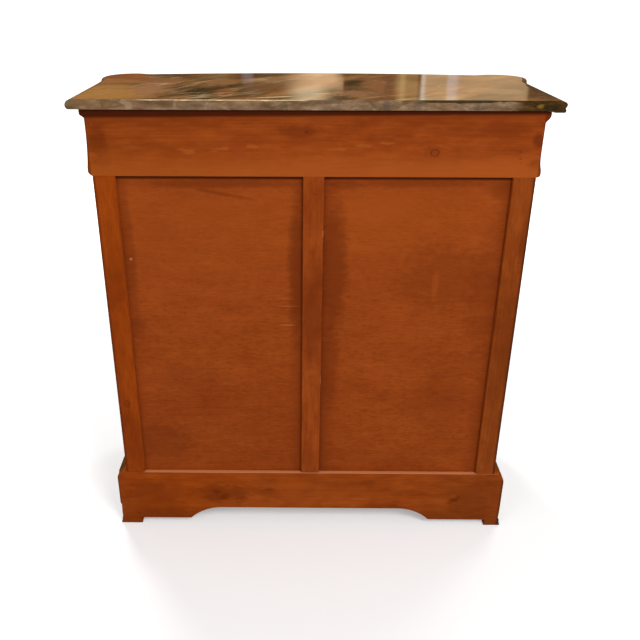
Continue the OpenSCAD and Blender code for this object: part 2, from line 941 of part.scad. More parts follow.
module along_key(y0, y1) {
  translate([key_x, y0, lock_z]) rotate([-90, 0, 0]) linear_extrude(y1 - y0) children();
}

module key_hole() {
  along_key(-back_y, back_y) {
    circle(key_r + fit_gap);
    translate([-bit_t / 2 - fit_gap, 0]) square([bit_t + 2 * fit_gap, bit_r + fit_gap]);
  }
}

module lock_case() {
  color("dimgray") difference() {
    block(lock_x0, lock_x1, lock_y0, lock_y1, lock_z - lock_h / 2, lock_z + lock_h / 2);
    block(lock_x0 + lock_wall, lock_x1 - lock_wall, lock_y0 + lock_wall, lock_y1 - lock_wall,
      lock_z - lock_h / 2 + lock_wall, lock_z + lock_h / 2 - lock_wall);
    block(lock_x0 - cut, lock_x0 + lock_wall + cut, bolt_y0 - fit_gap, bolt_y0 + bolt_t + fit_gap,
      bolt_z0 - fit_gap, bolt_z0 + bolt_h + fit_gap);
    along_key(lock_y0 - cut, lock_y1 + cut) circle(key_r + pin_gap);
  }
}

module lock_bolt() {
  color("silver") block(lock_x0 - lock_in / 2, lock_x0 - lock_in / 2 + bolt_l, bolt_y0, bolt_y0 + bolt_t,
    bolt_z0, bolt_z0 + bolt_h);
}

module key() {
  key_tip = bow_y(key_x, -door_in) - key_out;
  color("darkgray") {
    along_key(key_tip + key_ring_r, lock_y1 - lock_wall / 2) circle(key_r);
    translate([key_x - bit_t / 2, bit_y0, lock_z - bit_r]) cube([bit_t, bit_w, bit_r]);
    translate([key_x - key_ring_t / 2, key_tip + key_ring_r, lock_z]) rotate([0, 90, 0]) difference() {
      cylinder(r = key_ring_r, h = key_ring_t);
      translate([0, 0, -cut]) cylinder(r = key_ring_r * 0.6, h = key_ring_t + 2 * cut);
      translate([-key_r, key_ring_r * 0.75, -cut]) cube([2 * key_r, key_ring_r, key_ring_t + 2 * cut]);
    }
    along_key(key_tip + key_ring_r * 1.75, key_tip + key_ring_r * 2) circle(key_r + key_collar);
  }
}

// ---- Door bolt ----

slide_x = -door_mid - slide_in;
slide_plate_x1 = slide_x + slide_plate_w / 2;
slide_plate_x0 = slide_x - slide_plate_w / 2;
slide_plate_y = bow_y(slide_plate_x0, door_back) + fit_gap;
slide_y = slide_plate_y + slide_plate_t + slide_guide_wall + slide_r;
slide_top = door_high - slide_down;
slide_foot = slide_top - slide_plate_h;

module door_bolt_plate() {
  guide_half = slide_r + slide_guide_wall;
  color("dimgray") {
    block(slide_plate_x0, slide_plate_x1, slide_plate_y, slide_plate_y + slide_plate_t,
      slide_foot, slide_top);
    for (z = [slide_foot, slide_top - slide_guide_h]) level(z, z + slide_guide_h) difference() {
      zone(slide_x - guide_half, slide_x + guide_half, slide_plate_y, slide_y + guide_half);
      translate([slide_x, slide_y]) circle(slide_r + pin_gap);
    }
  }
}

module door_bolt() {
  finger_z = slide_foot + slide_guide_h + slide_knob_r + 2 * slide_guide_wall;
  color("silver") {
    translate([slide_x, slide_y, slide_foot - slide_guide_wall])
      cylinder(r = slide_r, h = frieze_z - slide_short - slide_foot + slide_guide_wall);
    translate([slide_x, slide_y, finger_z]) rotate([-90, 0, 0])
      cylinder(r = slide_knob_r, h = slide_r + slide_knob_l);
  }
}

// ---- Nails ----

// Nails at the right end of the back boards: [distance from the middle, height]
nail_spots = [
  for (z = [frieze_z + nail_edge, marble_z - nail_edge]) [half_w - frieze_in - nail_in, z],
  for (z = [foot_h + nail_edge, plinth_back_top - 2 * nail_edge]) [half_w - plinth_in - nail_in, z]
];

module nail_body(extra) {
  cylinder(r = nail_head_r + extra, h = nail_head_t + extra);
  cylinder(r = nail_r + extra, h = nail_l + extra);
}

module nails(extra) {
  for (side = [left, right], spot = nail_spots) translate([side * spot[0], board_y, spot[1]])
    rotate([90, 0, 0]) nail_body(extra);
}

module nail_holes() {
  nails(fit_gap / 2);
}

module back_nails() {
  color("dimgray") nails(0);
}

marble_top();
cornice_front();
cornice_side(left);  // cornice_left
cornice_side(right);  // cornice_right
frieze_back_board();
frieze_side(left);  // frieze_side_left
frieze_side(right);  // frieze_side_right
drawer_rail();
drawer_runner(left);  // drawer_runner_left
drawer_runner(right);  // drawer_runner_right
drawer_kickers();
corner_post(left);  // corner_post_left
corner_post(right);  // corner_post_right
side_panel(left);  // side_panel_left
side_panel(right);  // side_panel_right
back_stile(left);  // back_stile_left
back_stile(right);  // back_stile_right
back_muntin();
back_panel(left);  // back_panel_left
back_panel(right);  // back_panel_right
plinth_back_board();
plinth_front();
plinth_side(left);  // plinth_side_left
plinth_side(right);  // plinth_side_right
ogee_front();
ogee_side(left);  // ogee_left
ogee_side(right);  // ogee_right
feet();
bottom_board();
shelf();
shelf_cleats();
door_stops();
drawer_front();
drawer_side(left);  // drawer_side_left
drawer_side(right);  // drawer_side_right
drawer_back();
drawer_bottom();
drawer_knobs();
door_hinge_stile(left);  // left_door_hinge_stile
left_door_meeting_stile();
door_top_rail(left);  // left_door_top_rail
door_bottom_rail(left);  // left_door_bottom_rail
door_panel(left);  // left_door_panel
door_hinge_stile(right);  // right_door_hinge_stile
right_door_meeting_stile();
door_top_rail(right);  // right_door_top_rail
door_bottom_rail(right);  // right_door_bottom_rail
door_panel(right);  // right_door_panel
carcass_hinge_leaves();
door_hinge_leaves(left);  // left_door_hinge_leaves
door_hinge_leaves(right);  // right_door_hinge_leaves
lock_case();
lock_bolt();
key();
door_bolt_plate();
door_bolt();
back_nails();
carcass_hinge_screws();
door_screws(left);  // left_door_screws
door_screws(right);  // right_door_screws
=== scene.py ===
"""Looks of the bedside pot cupboard: its fine pieces, finishes, floor, lamps and camera.
Lengths are in metres. Tables of marks, edges, board ends and turned work are in millimetres."""

import math

import bmesh
import bpy
from mathutils import Matrix, Vector, noise


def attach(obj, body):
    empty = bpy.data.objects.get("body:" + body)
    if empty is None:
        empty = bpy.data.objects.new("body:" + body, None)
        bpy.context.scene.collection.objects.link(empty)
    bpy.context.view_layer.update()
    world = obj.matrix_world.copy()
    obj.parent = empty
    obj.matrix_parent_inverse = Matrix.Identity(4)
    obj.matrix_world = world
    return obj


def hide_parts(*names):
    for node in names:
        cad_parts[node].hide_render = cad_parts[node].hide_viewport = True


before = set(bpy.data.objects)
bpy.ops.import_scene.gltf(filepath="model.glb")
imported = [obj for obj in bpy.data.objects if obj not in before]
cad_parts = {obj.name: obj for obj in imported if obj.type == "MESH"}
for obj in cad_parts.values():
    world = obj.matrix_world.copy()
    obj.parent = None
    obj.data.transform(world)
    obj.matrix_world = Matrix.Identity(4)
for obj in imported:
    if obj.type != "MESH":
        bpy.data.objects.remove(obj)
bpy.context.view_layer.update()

# ---- Camera ----

PICTURE = 640
FOCUS = 740
SENSOR = 36


def look_from_behind():
    """The camera stands behind the cupboard, a little above it, and sees the framed back."""
    pitch, yaw, roll = (math.radians(a) for a in (25.10, 0.40, 0.145))
    forward = Vector((math.sin(yaw) * math.cos(pitch), -math.cos(yaw) * math.cos(pitch), -math.sin(pitch)))
    right = Vector((-math.cos(yaw), -math.sin(yaw), 0))
    up = right.cross(forward)
    across = right * math.cos(roll) + up * math.sin(roll)
    upward = up * math.cos(roll) - right * math.sin(roll)
    turn = Matrix((across, upward, -forward)).transposed().to_4x4()
    data = bpy.data.cameras.new("camera")
    data.sensor_width = SENSOR
    data.lens = FOCUS / PICTURE * SENSOR
    data.shift_x = 0.0381
    camera = bpy.data.objects.new("camera", data)
    camera.matrix_world = Matrix.Translation((0.0217, 1.4205, 1.0599)) @ turn
    bpy.context.scene.collection.objects.link(camera)
    bpy.context.scene.camera = camera


look_from_behind()

# ---- Plan curve ----

HALF_W = 0.4
DEPTH = 0.358
BOW_R = 2.1
BACK_Y = 0.184
BOARD_Y = 0.179
FRAME_Y = 0.159
EAR_Y = BACK_Y - DEPTH + 0.063
POST_BACK = EAR_Y + 0.026
POST_IN = 0.341
FRONT_OUT = -0.02
BOW = (Vector((0, BACK_Y - DEPTH + BOW_R)), BOW_R)
EAR = (Vector((HALF_W - 0.034, EAR_Y)), 0.049)
DIP = (Vector((0.325704, -0.17895)), 0.03)
SWELL = (Vector((0.74, -0.004019)), 0.34)

FOOT_H = 0.0145
PLINTH_TOP = 0.116
FLOOR_Z = 0.154
BACK_RAIL_TOP = 0.1325
FRIEZE_Z = 0.747
BEAD_Z = 0.75
BEAD_H = 0.008
CORNICE_Z = 0.836
MARBLE_Z = 0.858
TOP_Z = 0.874

OUTWARD = Vector((1, 0))
EAR_SIDE = (Vector((EAR[0].x + EAR[1], EAR_Y)), OUTWARD)
SAME_PLACE = 0.000002


def towards(a, b):
    return math.atan2(b.y - a.y, b.x - a.x)


def arc(circle, hollow, start, end, steps):
    """Stations of an arc of the plan curve: a point on the arris line, and the way out from it."""
    centre, radius = circle
    stations = []
    for i in range(steps):
        a = start + (end - start) * i / steps
        out = Vector((math.cos(a), math.sin(a)))
        stations.append((centre + out * radius, -out if hollow else out))
    return stations


def front_stations():
    """From the middle of the front to the side of the rounded corner."""
    return (
        arc(BOW, False, -math.pi / 2, towards(BOW[0], DIP[0]), 22)
        + arc(DIP, True, towards(DIP[0], BOW[0]), towards(DIP[0], EAR[0]), 14)
        + arc(EAR, False, towards(EAR[0], DIP[0]), 0, 26)
    )


def side_stations(back):
    """From the side of the rounded corner along the swell and the straight side to its back end."""
    return (
        arc(EAR, False, 0, towards(EAR[0], SWELL[0]), 6)
        + arc(SWELL, True, towards(SWELL[0], EAR[0]), -math.pi, 10)
        + [(Vector((HALF_W, SWELL[0].y)), OUTWARD), (Vector((HALF_W, back)), OUTWARD)]
    )


def mirrored(stations):
    return [(Vector((-p.x, p.y)), Vector((-n.x, n.y))) for p, n in stations]


def whole_front():
    half = front_stations() + [EAR_SIDE]
    return mirrored(half)[:0:-1] + half


def bow_y(x, out):
    """The bowed front at distance x from the middle, out from the arris line."""
    return BOW[0].y - math.sqrt((BOW[1] + out) ** 2 - x * x)


def eased(share):
    """A soft step: 0 below 0, 1 above 1."""
    share = min(1.0, max(0.0, share))
    return share * share * (3 - 2 * share)


def at_step(where, steps):
    """The height at a place of a line given by its corners (place, height). Outside them it is 0."""
    for (a, low), (b, high) in zip(steps, steps[1:]):
        if a <= where <= b:
            return low + (high - low) * (where - a) / (b - a)
    return 0.0


def metres(*lengths):
    return tuple(length / 1000 for length in lengths)


# ---- Modelling ----


def pick(piece):
    """Selects one piece alone, in object mode."""
    if bpy.context.object and bpy.context.object.mode != "OBJECT":
        bpy.ops.object.mode_set(mode="OBJECT")
    bpy.ops.object.select_all(action="DESELECT")
    bpy.context.view_layer.objects.active = piece
    piece.select_set(True)


def enter(piece, mode):
    """Edit mode on one piece alone."""
    pick(piece)
    bpy.context.tool_settings.mesh_select_mode = (mode == "VERT", mode == "EDGE", mode == "FACE")
    bpy.ops.object.mode_set(mode="EDIT")


def leave():
    bpy.ops.object.mode_set(mode="OBJECT")


def extruded(name, rings, form="solid"):
    """A piece drawn out from ring to ring of points. It starts as a circle with one vertex for each point.
    form is "solid" where both ends are closed, and "loop" where the last ring runs into the first."""
    bpy.ops.object.select_all(action="DESELECT")
    fill = "NGON" if form == "solid" else "NOTHING"
    bpy.ops.mesh.primitive_circle_add(vertices=len(rings[0]), radius=1, fill_type=fill)
    piece = bpy.context.object
    piece.name = name
    enter(piece, "VERT")
    mesh = bmesh.from_edit_mesh(piece.data)
    station = mesh.verts.layers.int.new("station")
    mesh.verts.ensure_lookup_table()
    for i, vertex in enumerate(mesh.verts):
        vertex[station] = i
    for k, ring in enumerate(rings + (rings[:1] if form == "loop" else [])):
        if k:
            bpy.ops.mesh.extrude_region_move()
            mesh = bmesh.from_edit_mesh(piece.data)
            station = mesh.verts.layers.int["station"]
        for vertex in mesh.verts:
            if k == 0 or vertex.select:
                vertex.co = ring[vertex[station]]
        if k == 0:
            bmesh.update_edit_mesh(piece.data)
            bpy.ops.mesh.select_all(action="SELECT")
        bmesh.update_edit_mesh(piece.data)
    bpy.ops.mesh.select_all(action="SELECT")
    bpy.ops.mesh.remove_doubles(threshold=SAME_PLACE)
    bpy.ops.mesh.normals_make_consistent(inside=False)
    leave()
    piece.data.attributes.remove(piece.data.attributes["station"])
    return piece


def smooth(piece, degrees=40):
    """Rounds read as round and flat faces as flat."""
    pick(piece)
    bpy.ops.object.shade_smooth_by_angle(angle=math.radians(degrees))
    weigh = piece.modifiers.new("even", "WEIGHTED_NORMAL")
    weigh.keep_sharp = True
    weigh.weight = 80
    bpy.ops.object.modifier_apply(modifier=weigh.name)


def ease_arrises(piece, width, segments=2, least=0.0014, where=None):
    """Rounds the outward arrises over, and marks the rounds so that finishes can show wear there."""

    def is_arris(edge):
        if len(edge.link_faces) != 2 or edge.calc_length() < least:
            return False
        return edge.calc_face_angle_signed(0) >= math.radians(28) and (where is None or where(edge))

    enter(piece, "EDGE")
    bpy.ops.mesh.select_all(action="DESELECT")
    mesh = bmesh.from_edit_mesh(piece.data)
    found = [edge for edge in mesh.edges if is_arris(edge)]
    for edge in found:
        edge.select_set(True)
    bmesh.update_edit_mesh(piece.data)
    if found:
        bpy.ops.mesh.bevel(offset=width, segments=segments, profile=0.5, clamp_overlap=True)
        mesh = bmesh.from_edit_mesh(piece.data)
        worn = mesh.faces.layers.float.get("arris") or mesh.faces.layers.float.new("arris")
        for face in mesh.faces:
            if face.select and 2 * face.calc_area() < 1.3 * width * face.calc_perimeter():
                face[worn] = 1
        bmesh.update_edit_mesh(piece.data)
    leave()


def on_bead(edge):
    """Whether an edge is an outer arris of the bead under the frieze."""
    a, b = (vertex.co for vertex in edge.verts)
    if abs(a.z - b.z) > 0.0001 or min(abs(a.z - z) for z in (BEAD_Z, BEAD_Z + BEAD_H)) > 0.0001:
        return False
    return a.y < FRAME_Y - 0.0001 or b.y < FRAME_Y - 0.0001


def finish_piece(piece, material, body, node=None):
    """Gives a piece its material or materials and its body, and hides the CAD node that it replaces."""
    if node:
        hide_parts(node)
    piece.data.materials.clear()
    for one in material if isinstance(material, tuple) else (material,):
        piece.data.materials.append(one)
    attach(piece, body)


def board(node, material, body, slot, width=0.0007, segments=2, bead=False):
    """A finer copy of a CAD board: triangles merged into whole faces, and arrises eased."""
    piece = bpy.data.objects.new(node + "_wood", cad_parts[node].data.copy())
    bpy.context.scene.collection.objects.link(piece)
    piece.data.materials.clear()
    enter(piece, "EDGE")
    bpy.ops.mesh.select_all(action="SELECT")
    bpy.ops.mesh.remove_doubles(threshold=SAME_PLACE)
    bpy.ops.mesh.dissolve_limited(angle_limit=math.radians(0.2))
    leave()
    if bead:
        ease_arrises(piece, 0.0034, 5, 0.0001, on_bead)
    ease_arrises(piece, width, segments)
    smooth(piece)
    finish_piece(piece, material, body, node)


def boards(nodes, *how):
    for node in nodes.split():
        board(node, *how)


def joined(name, pieces):
    """One piece made of several."""
    bpy.ops.object.select_all(action="DESELECT")
    for piece in pieces:
        piece.select_set(True)
    bpy.context.view_layer.objects.active = pieces[0]
    bpy.ops.object.join()
    pieces[0].name = name
    return pieces[0]


# ---- Effects that several finishes share ----


def sign(operation, second=False):
    """Arithmetic between a value and another, or a number. second says that the value stands second."""

    def work(value, other=0.0):
        return value.recipe.math(operation, *((other, value) if second else (value, other)))

    return work


class Value:
    """One output of a node. Arithmetic with it lays out more nodes."""

    def __init__(self, recipe, socket):
        self.recipe, self.socket = recipe, socket

    __add__, __radd__ = sign("ADD"), sign("ADD", True)
    __sub__, __rsub__ = sign("SUBTRACT"), sign("SUBTRACT", True)
    __mul__, __rmul__ = sign("MULTIPLY"), sign("MULTIPLY", True)
    __truediv__, __abs__ = sign("DIVIDE"), sign("ABSOLUTE")


class Outputs:
    """The outputs of a node, by name or number."""

    def __init__(self, recipe, node):
        self.recipe, self.node = recipe, node

    def __getitem__(self, key):
        return Value(self.recipe, self.node.outputs[key])


class Recipe:
    """Lays out the nodes of one finish or effect. Its colour is what has been painted so far."""

    def __init__(self, tree):
        self.tree = tree

    def fill(self, socket, value):
        """Links the socket to a value, or sets it to a number, a point or a colour."""
        if isinstance(value, Value):
            self.tree.links.new(value.socket, socket)
        else:
            socket.default_value = value

    def add(self, kind, inputs=(), **settings):
        made = self.tree.nodes.new("ShaderNode" + kind)
        for key, value in settings.items():
            setattr(made, key, value)
        for key, value in dict(inputs).items():
            self.fill(made.inputs[key], value)
        return Outputs(self, made)

    def place(self, tree, **inputs):
        """A shared effect with its own values."""
        made = self.add("Group", node_tree=tree)
        for label, value in inputs.items():
            self.fill(made.node.inputs[label.replace("_", " ")], value)
        return made

    def math(self, operation, a, b=0.0):
        return self.add("Math", {0: a, 1: b}, operation=operation)[0]

    def vector(self, operation, a, b):
        return self.add("VectorMath", {0: a, 1: b}, operation=operation)[0]

    def point(self, x, y, z):
        return self.add("CombineXYZ", {0: x, 1: y, 2: z})[0]

    def mix(self, amount, a, b, way="MIX"):
        a, b = ((*c, 1) if isinstance(c, tuple) else c for c in (a, b))
        return self.add("Mix", {0: amount, 6: a, 7: b}, data_type="RGBA", blend_type=way)[2]

    def paint(self, amount, tint, way="MIX"):
        """Lays a tint over the colour."""
        self.colour = self.mix(amount, self.colour, tint, way)

    def step(self, value, low, high):
        """0 below low and 1 above high, with a soft step between them. It falls where low is above high."""
        return self.add("MapRange", {0: value, 1: low, 2: high}, interpolation_type="SMOOTHSTEP")[0]

    def between(self, value, a, b, c, d):
        """Rises from a to b and falls from c to d."""
        return self.step(value, a, b) * self.step(value, d, c)

    def stretch(self, vector, x, y, z):
        return self.vector("MULTIPLY", vector, (x, y, z))

    def turn(self, vector, *degrees):
        angles = tuple(math.radians(a) for a in degrees)
        return self.add("Mapping", {0: vector, 1: (0, 0, 0), 2: angles}, vector_type="POINT")[0]

    def noise(self, vector, scale=1.0, detail=3.0, rough=0.5, warp=0.0):
        return self.add("TexNoise", {0: vector, 2: scale, 3: detail, 4: rough, 8: warp})[0]

    def split(self, vector):
        return self.add("SeparateXYZ", {0: vector})

    def arris(self):
        return self.add("Attribute", attribute_name="arris", attribute_type="GEOMETRY")["Fac"]

    def spot(self, where, centre, size, fray):
        return self.place(SPOT, Vector=where, Centre=centre, Size=size, Fray=fray)["Mask"]

    def marks(self, tint, fray, *rows):
        """Marks on the back boards. Each row gives x, z, half width, half height and strength."""
        for *lengths, strength in rows:
            x, z, wide, high = metres(*lengths)
            self.paint(self.spot(self.where, (x, BOARD_Y, z), (wide, 1, high), fray) * strength, tint)

    def colours(self, amount, *stops):
        made = self.add("ValToRGB", {0: amount})
        marks = made.node.color_ramp.elements
        while len(marks) < len(stops):
            marks.new(0.5)
        for mark, (place, colour) in zip(marks, stops):
            mark.position = place
            mark.color = (*colour, 1)
        return made[0]

    def give(self, **values):
        """Ends an effect with the values that it gives."""
        result = self.tree.nodes.new("NodeGroupOutput")
        for label, value in values.items():
            self.fill(result.inputs[label], value)
        return self.tree

    def finish(self, roughness, height, depth, strength, specular=None, metallic=None):
        """Ends a finish: the painted colour, the roughness and a bump go to the shader."""
        values = {"Base Color": self.colour, "Roughness": roughness}
        values |= {"Specular IOR Level": specular, "Metallic": metallic}
        for label, value in values.items():
            if value is not None:
                self.fill(self.shader.inputs[label], value)
        bump = self.add("Bump", {"Height": height, "Distance": depth, "Strength": strength})
        self.fill(self.shader.inputs["Normal"], bump["Normal"])
        return self.material


def effect(name, outputs, **inputs):
    """The recipe of a new node group and what goes into it: first a vector, then points and numbers."""
    tree = bpy.data.node_groups.new(name, "ShaderNodeTree")
    tree.interface.new_socket("Vector", in_out="INPUT", socket_type="NodeSocketVector")
    for label, value in inputs.items():
        kind = "NodeSocketVector" if isinstance(value, tuple) else "NodeSocketFloat"
        socket = tree.interface.new_socket(label.replace("_", " "), in_out="INPUT", socket_type=kind)
        socket.default_value = value
    for label in outputs:
        kind = "NodeSocketVector" if label == "Vector" else "NodeSocketFloat"
        tree.interface.new_socket(label, in_out="OUTPUT", socket_type=kind)
    r = Recipe(tree)
    given = Outputs(r, tree.nodes.new("NodeGroupInput"))
    return r, given, given["Vector"]


def new_finish(name):
    material = bpy.data.materials.new(name)
    material.use_nodes = True
    r = Recipe(material.node_tree)
    r.material = material
    r.shader = material.node_tree.nodes["Principled BSDF"]
    r.where = r.add("TexCoord")["Object"]
    return r, r.where


def make_board_grain():
    """Sawn timber with its length along X. Rings are cuts through cones about a heart behind the face."""
    r, given, v = effect(
        "board_grain",
        ("Rings", "Fibres", "Clouds"),
        Heart=(0, 0, 0),
        Depth=0.03,
        Taper=0.05,
        Ring_Width=0.004,
        Wander=0.012,
    )
    x, _, z = r.split(r.vector("SUBTRACT", v, given["Heart"]))
    drift = r.noise(r.stretch(v, 1.7, 3, 9), detail=3) - 0.5
    z = z + drift * given["Wander"]
    swell = r.noise(r.stretch(v, 4, 3, 2.5), detail=2) - 0.45
    depth = given["Depth"] + abs(x) * given["Taper"]
    depth = depth * (swell * 1.1 + 1.0)
    reach = r.math("SQRT", z * z + depth * depth)
    fray = r.noise(r.stretch(v, 25, 90, 240), detail=3)
    years = r.noise(r.stretch(v, 0.9, 5, 14), detail=2)
    count = reach / given["Ring Width"] + (fray * 0.7 + years * 5.0)
    ring = r.math("FRACT", count)
    late = r.between(ring, 0.25, 0.85, 0.93, 1.0)
    fibres = r.noise(r.stretch(v, 16, 700, 700), detail=3, rough=0.65)
    clouds = r.noise(r.stretch(v, 3.2, 5, 9), detail=4, rough=0.55)
    return r.give(Rings=late, Fibres=fibres, Clouds=clouds)


def make_knot():
    """A knot in a board whose length is along X: the grain parts round it."""
    r, given, v = effect("knot", ("Vector", "Ring", "Heart"), Centre=(0, 0, 0), Radius=0.006, Stretch=1.2)
    x, _, z = r.split(r.vector("SUBTRACT", v, given["Centre"]))
    x = x / given["Stretch"]
    blur = r.noise(v, scale=220, detail=1)
    far = r.math("SQRT", x * x + z * z)
    far = far / given["Radius"] + (blur - 0.5) * 0.5
    ring = r.between(far, 0.62, 0.95, 1.0, 1.3)
    heart = r.step(far, 1.0, 0.2)
    push = z * r.step(far, 5.5, 0.8) * -0.72
    bent = r.vector("ADD", v, r.point(0.0, 0.0, push))
    return r.give(Vector=bent, Ring=ring, Heart=heart)


def make_spot():
    """A soft mark: 1 in its middle, 0 past its edge, broken up by Fray. Size is its half width each way."""
    r, given, v = effect("spot", ("Mask",), Centre=(0, 0, 0), Size=(0.01, 1, 0.01), Fray=0.5)
    off = r.vector("DIVIDE", r.vector("SUBTRACT", v, given["Centre"]), given["Size"])
    far = r.add("VectorMath", {0: off}, operation="LENGTH")["Value"]
    fray = r.noise(r.stretch(v, 60, 60, 110), detail=4) - 0.5
    return r.give(Mask=r.step(far + fray * given["Fray"], 1.0, 0.35))


def make_wear():
    """Rubbed arrises, and handling marks all over."""
    r, _, v = effect("wear", ("Arris", "Rubs", "Dirt"))
    arris = r.arris()
    patches = r.step(r.noise(v, scale=26, detail=4), 0.36, 0.62)
    rubs = r.step(r.noise(r.stretch(v, 30, 30, 30), detail=6, rough=0.7), 0.45, 0.8)
    dirt = r.step(r.noise(v, scale=9, detail=5, rough=0.6), 0.42, 0.72)
    return r.give(Arris=arris * patches, Rubs=rubs, Dirt=dirt)


BOARD_GRAIN = make_board_grain()
KNOT = make_knot()
SPOT = make_spot()
WEAR = make_wear()

# ---- Stained pine of the back ----

STAIN_DARK = (0.12, 0.018, 0.0016)
STAIN_DEEP = (0.205, 0.0345, 0.003)
STAIN = (0.262, 0.0465, 0.0048)
STAIN_PALE = (0.335, 0.067, 0.0085)
# Pale orange of rubbed wear, also laid on as a painted highlight.
PALE_WEAR_AND_HIGHLIGHT = (0.6, 0.22, 0.09)
STAIN_BLACK = (0.04, 0.0065, 0.0008)
KNOT_DARK = (0.06, 0.009, 0.001)


def stain(r, along, grain, wear, ring_depth, streaky=1.0):
    """The stain over the grain: mottled, deeper in the late wood and where dirt has settled.
    streaky is how far the marks run with the grain, less on the thin even panels."""
    mottle = r.noise(r.stretch(along, 20, 55, 55), detail=5, rough=0.62)
    tone = grain["Clouds"] * 0.45 + mottle * 0.55
    tone = tone * streaky + 0.5 * (1 - streaky)
    r.colour = r.colours(tone, (0.36, STAIN_DEEP), (0.48, STAIN), (0.64, STAIN_PALE))
    r.paint(grain["Rings"] * ring_depth, STAIN_DARK)
    streaks = r.noise(r.stretch(along, 7, 330, 330), detail=3, rough=0.6)
    r.paint(r.step(streaks, 0.5, 0.72) * (0.22 * streaky), STAIN_DARK)
    r.paint(r.step(streaks, 0.48, 0.28) * (0.16 * streaky), STAIN_PALE)
    r.paint(r.step(grain["Fibres"], 0.42, 0.66) * 0.12, STAIN_DARK)
    r.paint(wear["Dirt"] * 0.1, STAIN_DARK)


def stained_finish(name, build, inside=1.0, polish=0.92, specular=0.04):
    """Stained on the back, left bare inside the carcass, and polished like the sides at the outer ends."""
    r, where = new_finish(name)
    wear = r.place(WEAR, Vector=where)
    height = build(r, where, wear)
    r.paint(wear["Arris"] * 0.28, STAIN_BLACK)
    x, y, _ = r.split(where)
    sawn = r.noise(r.stretch(where, 5, 30, 70), detail=5, rough=0.6)
    bare = r.colours(sawn, (0.34, (0.36, 0.2, 0.088)), (0.66, (0.52, 0.32, 0.155)))
    r.paint(r.step(y, 0.1662, 0.1652) * inside, bare)
    outer = r.step(abs(x), 0.3725, 0.3745) * r.step(y, 0.1784, 0.1774)
    r.paint(outer * polish, (0.085, 0.032, 0.01))
    return r.finish(wear["Rubs"] * 0.16 + 0.5, height, 0.0002, 0.35, specular)


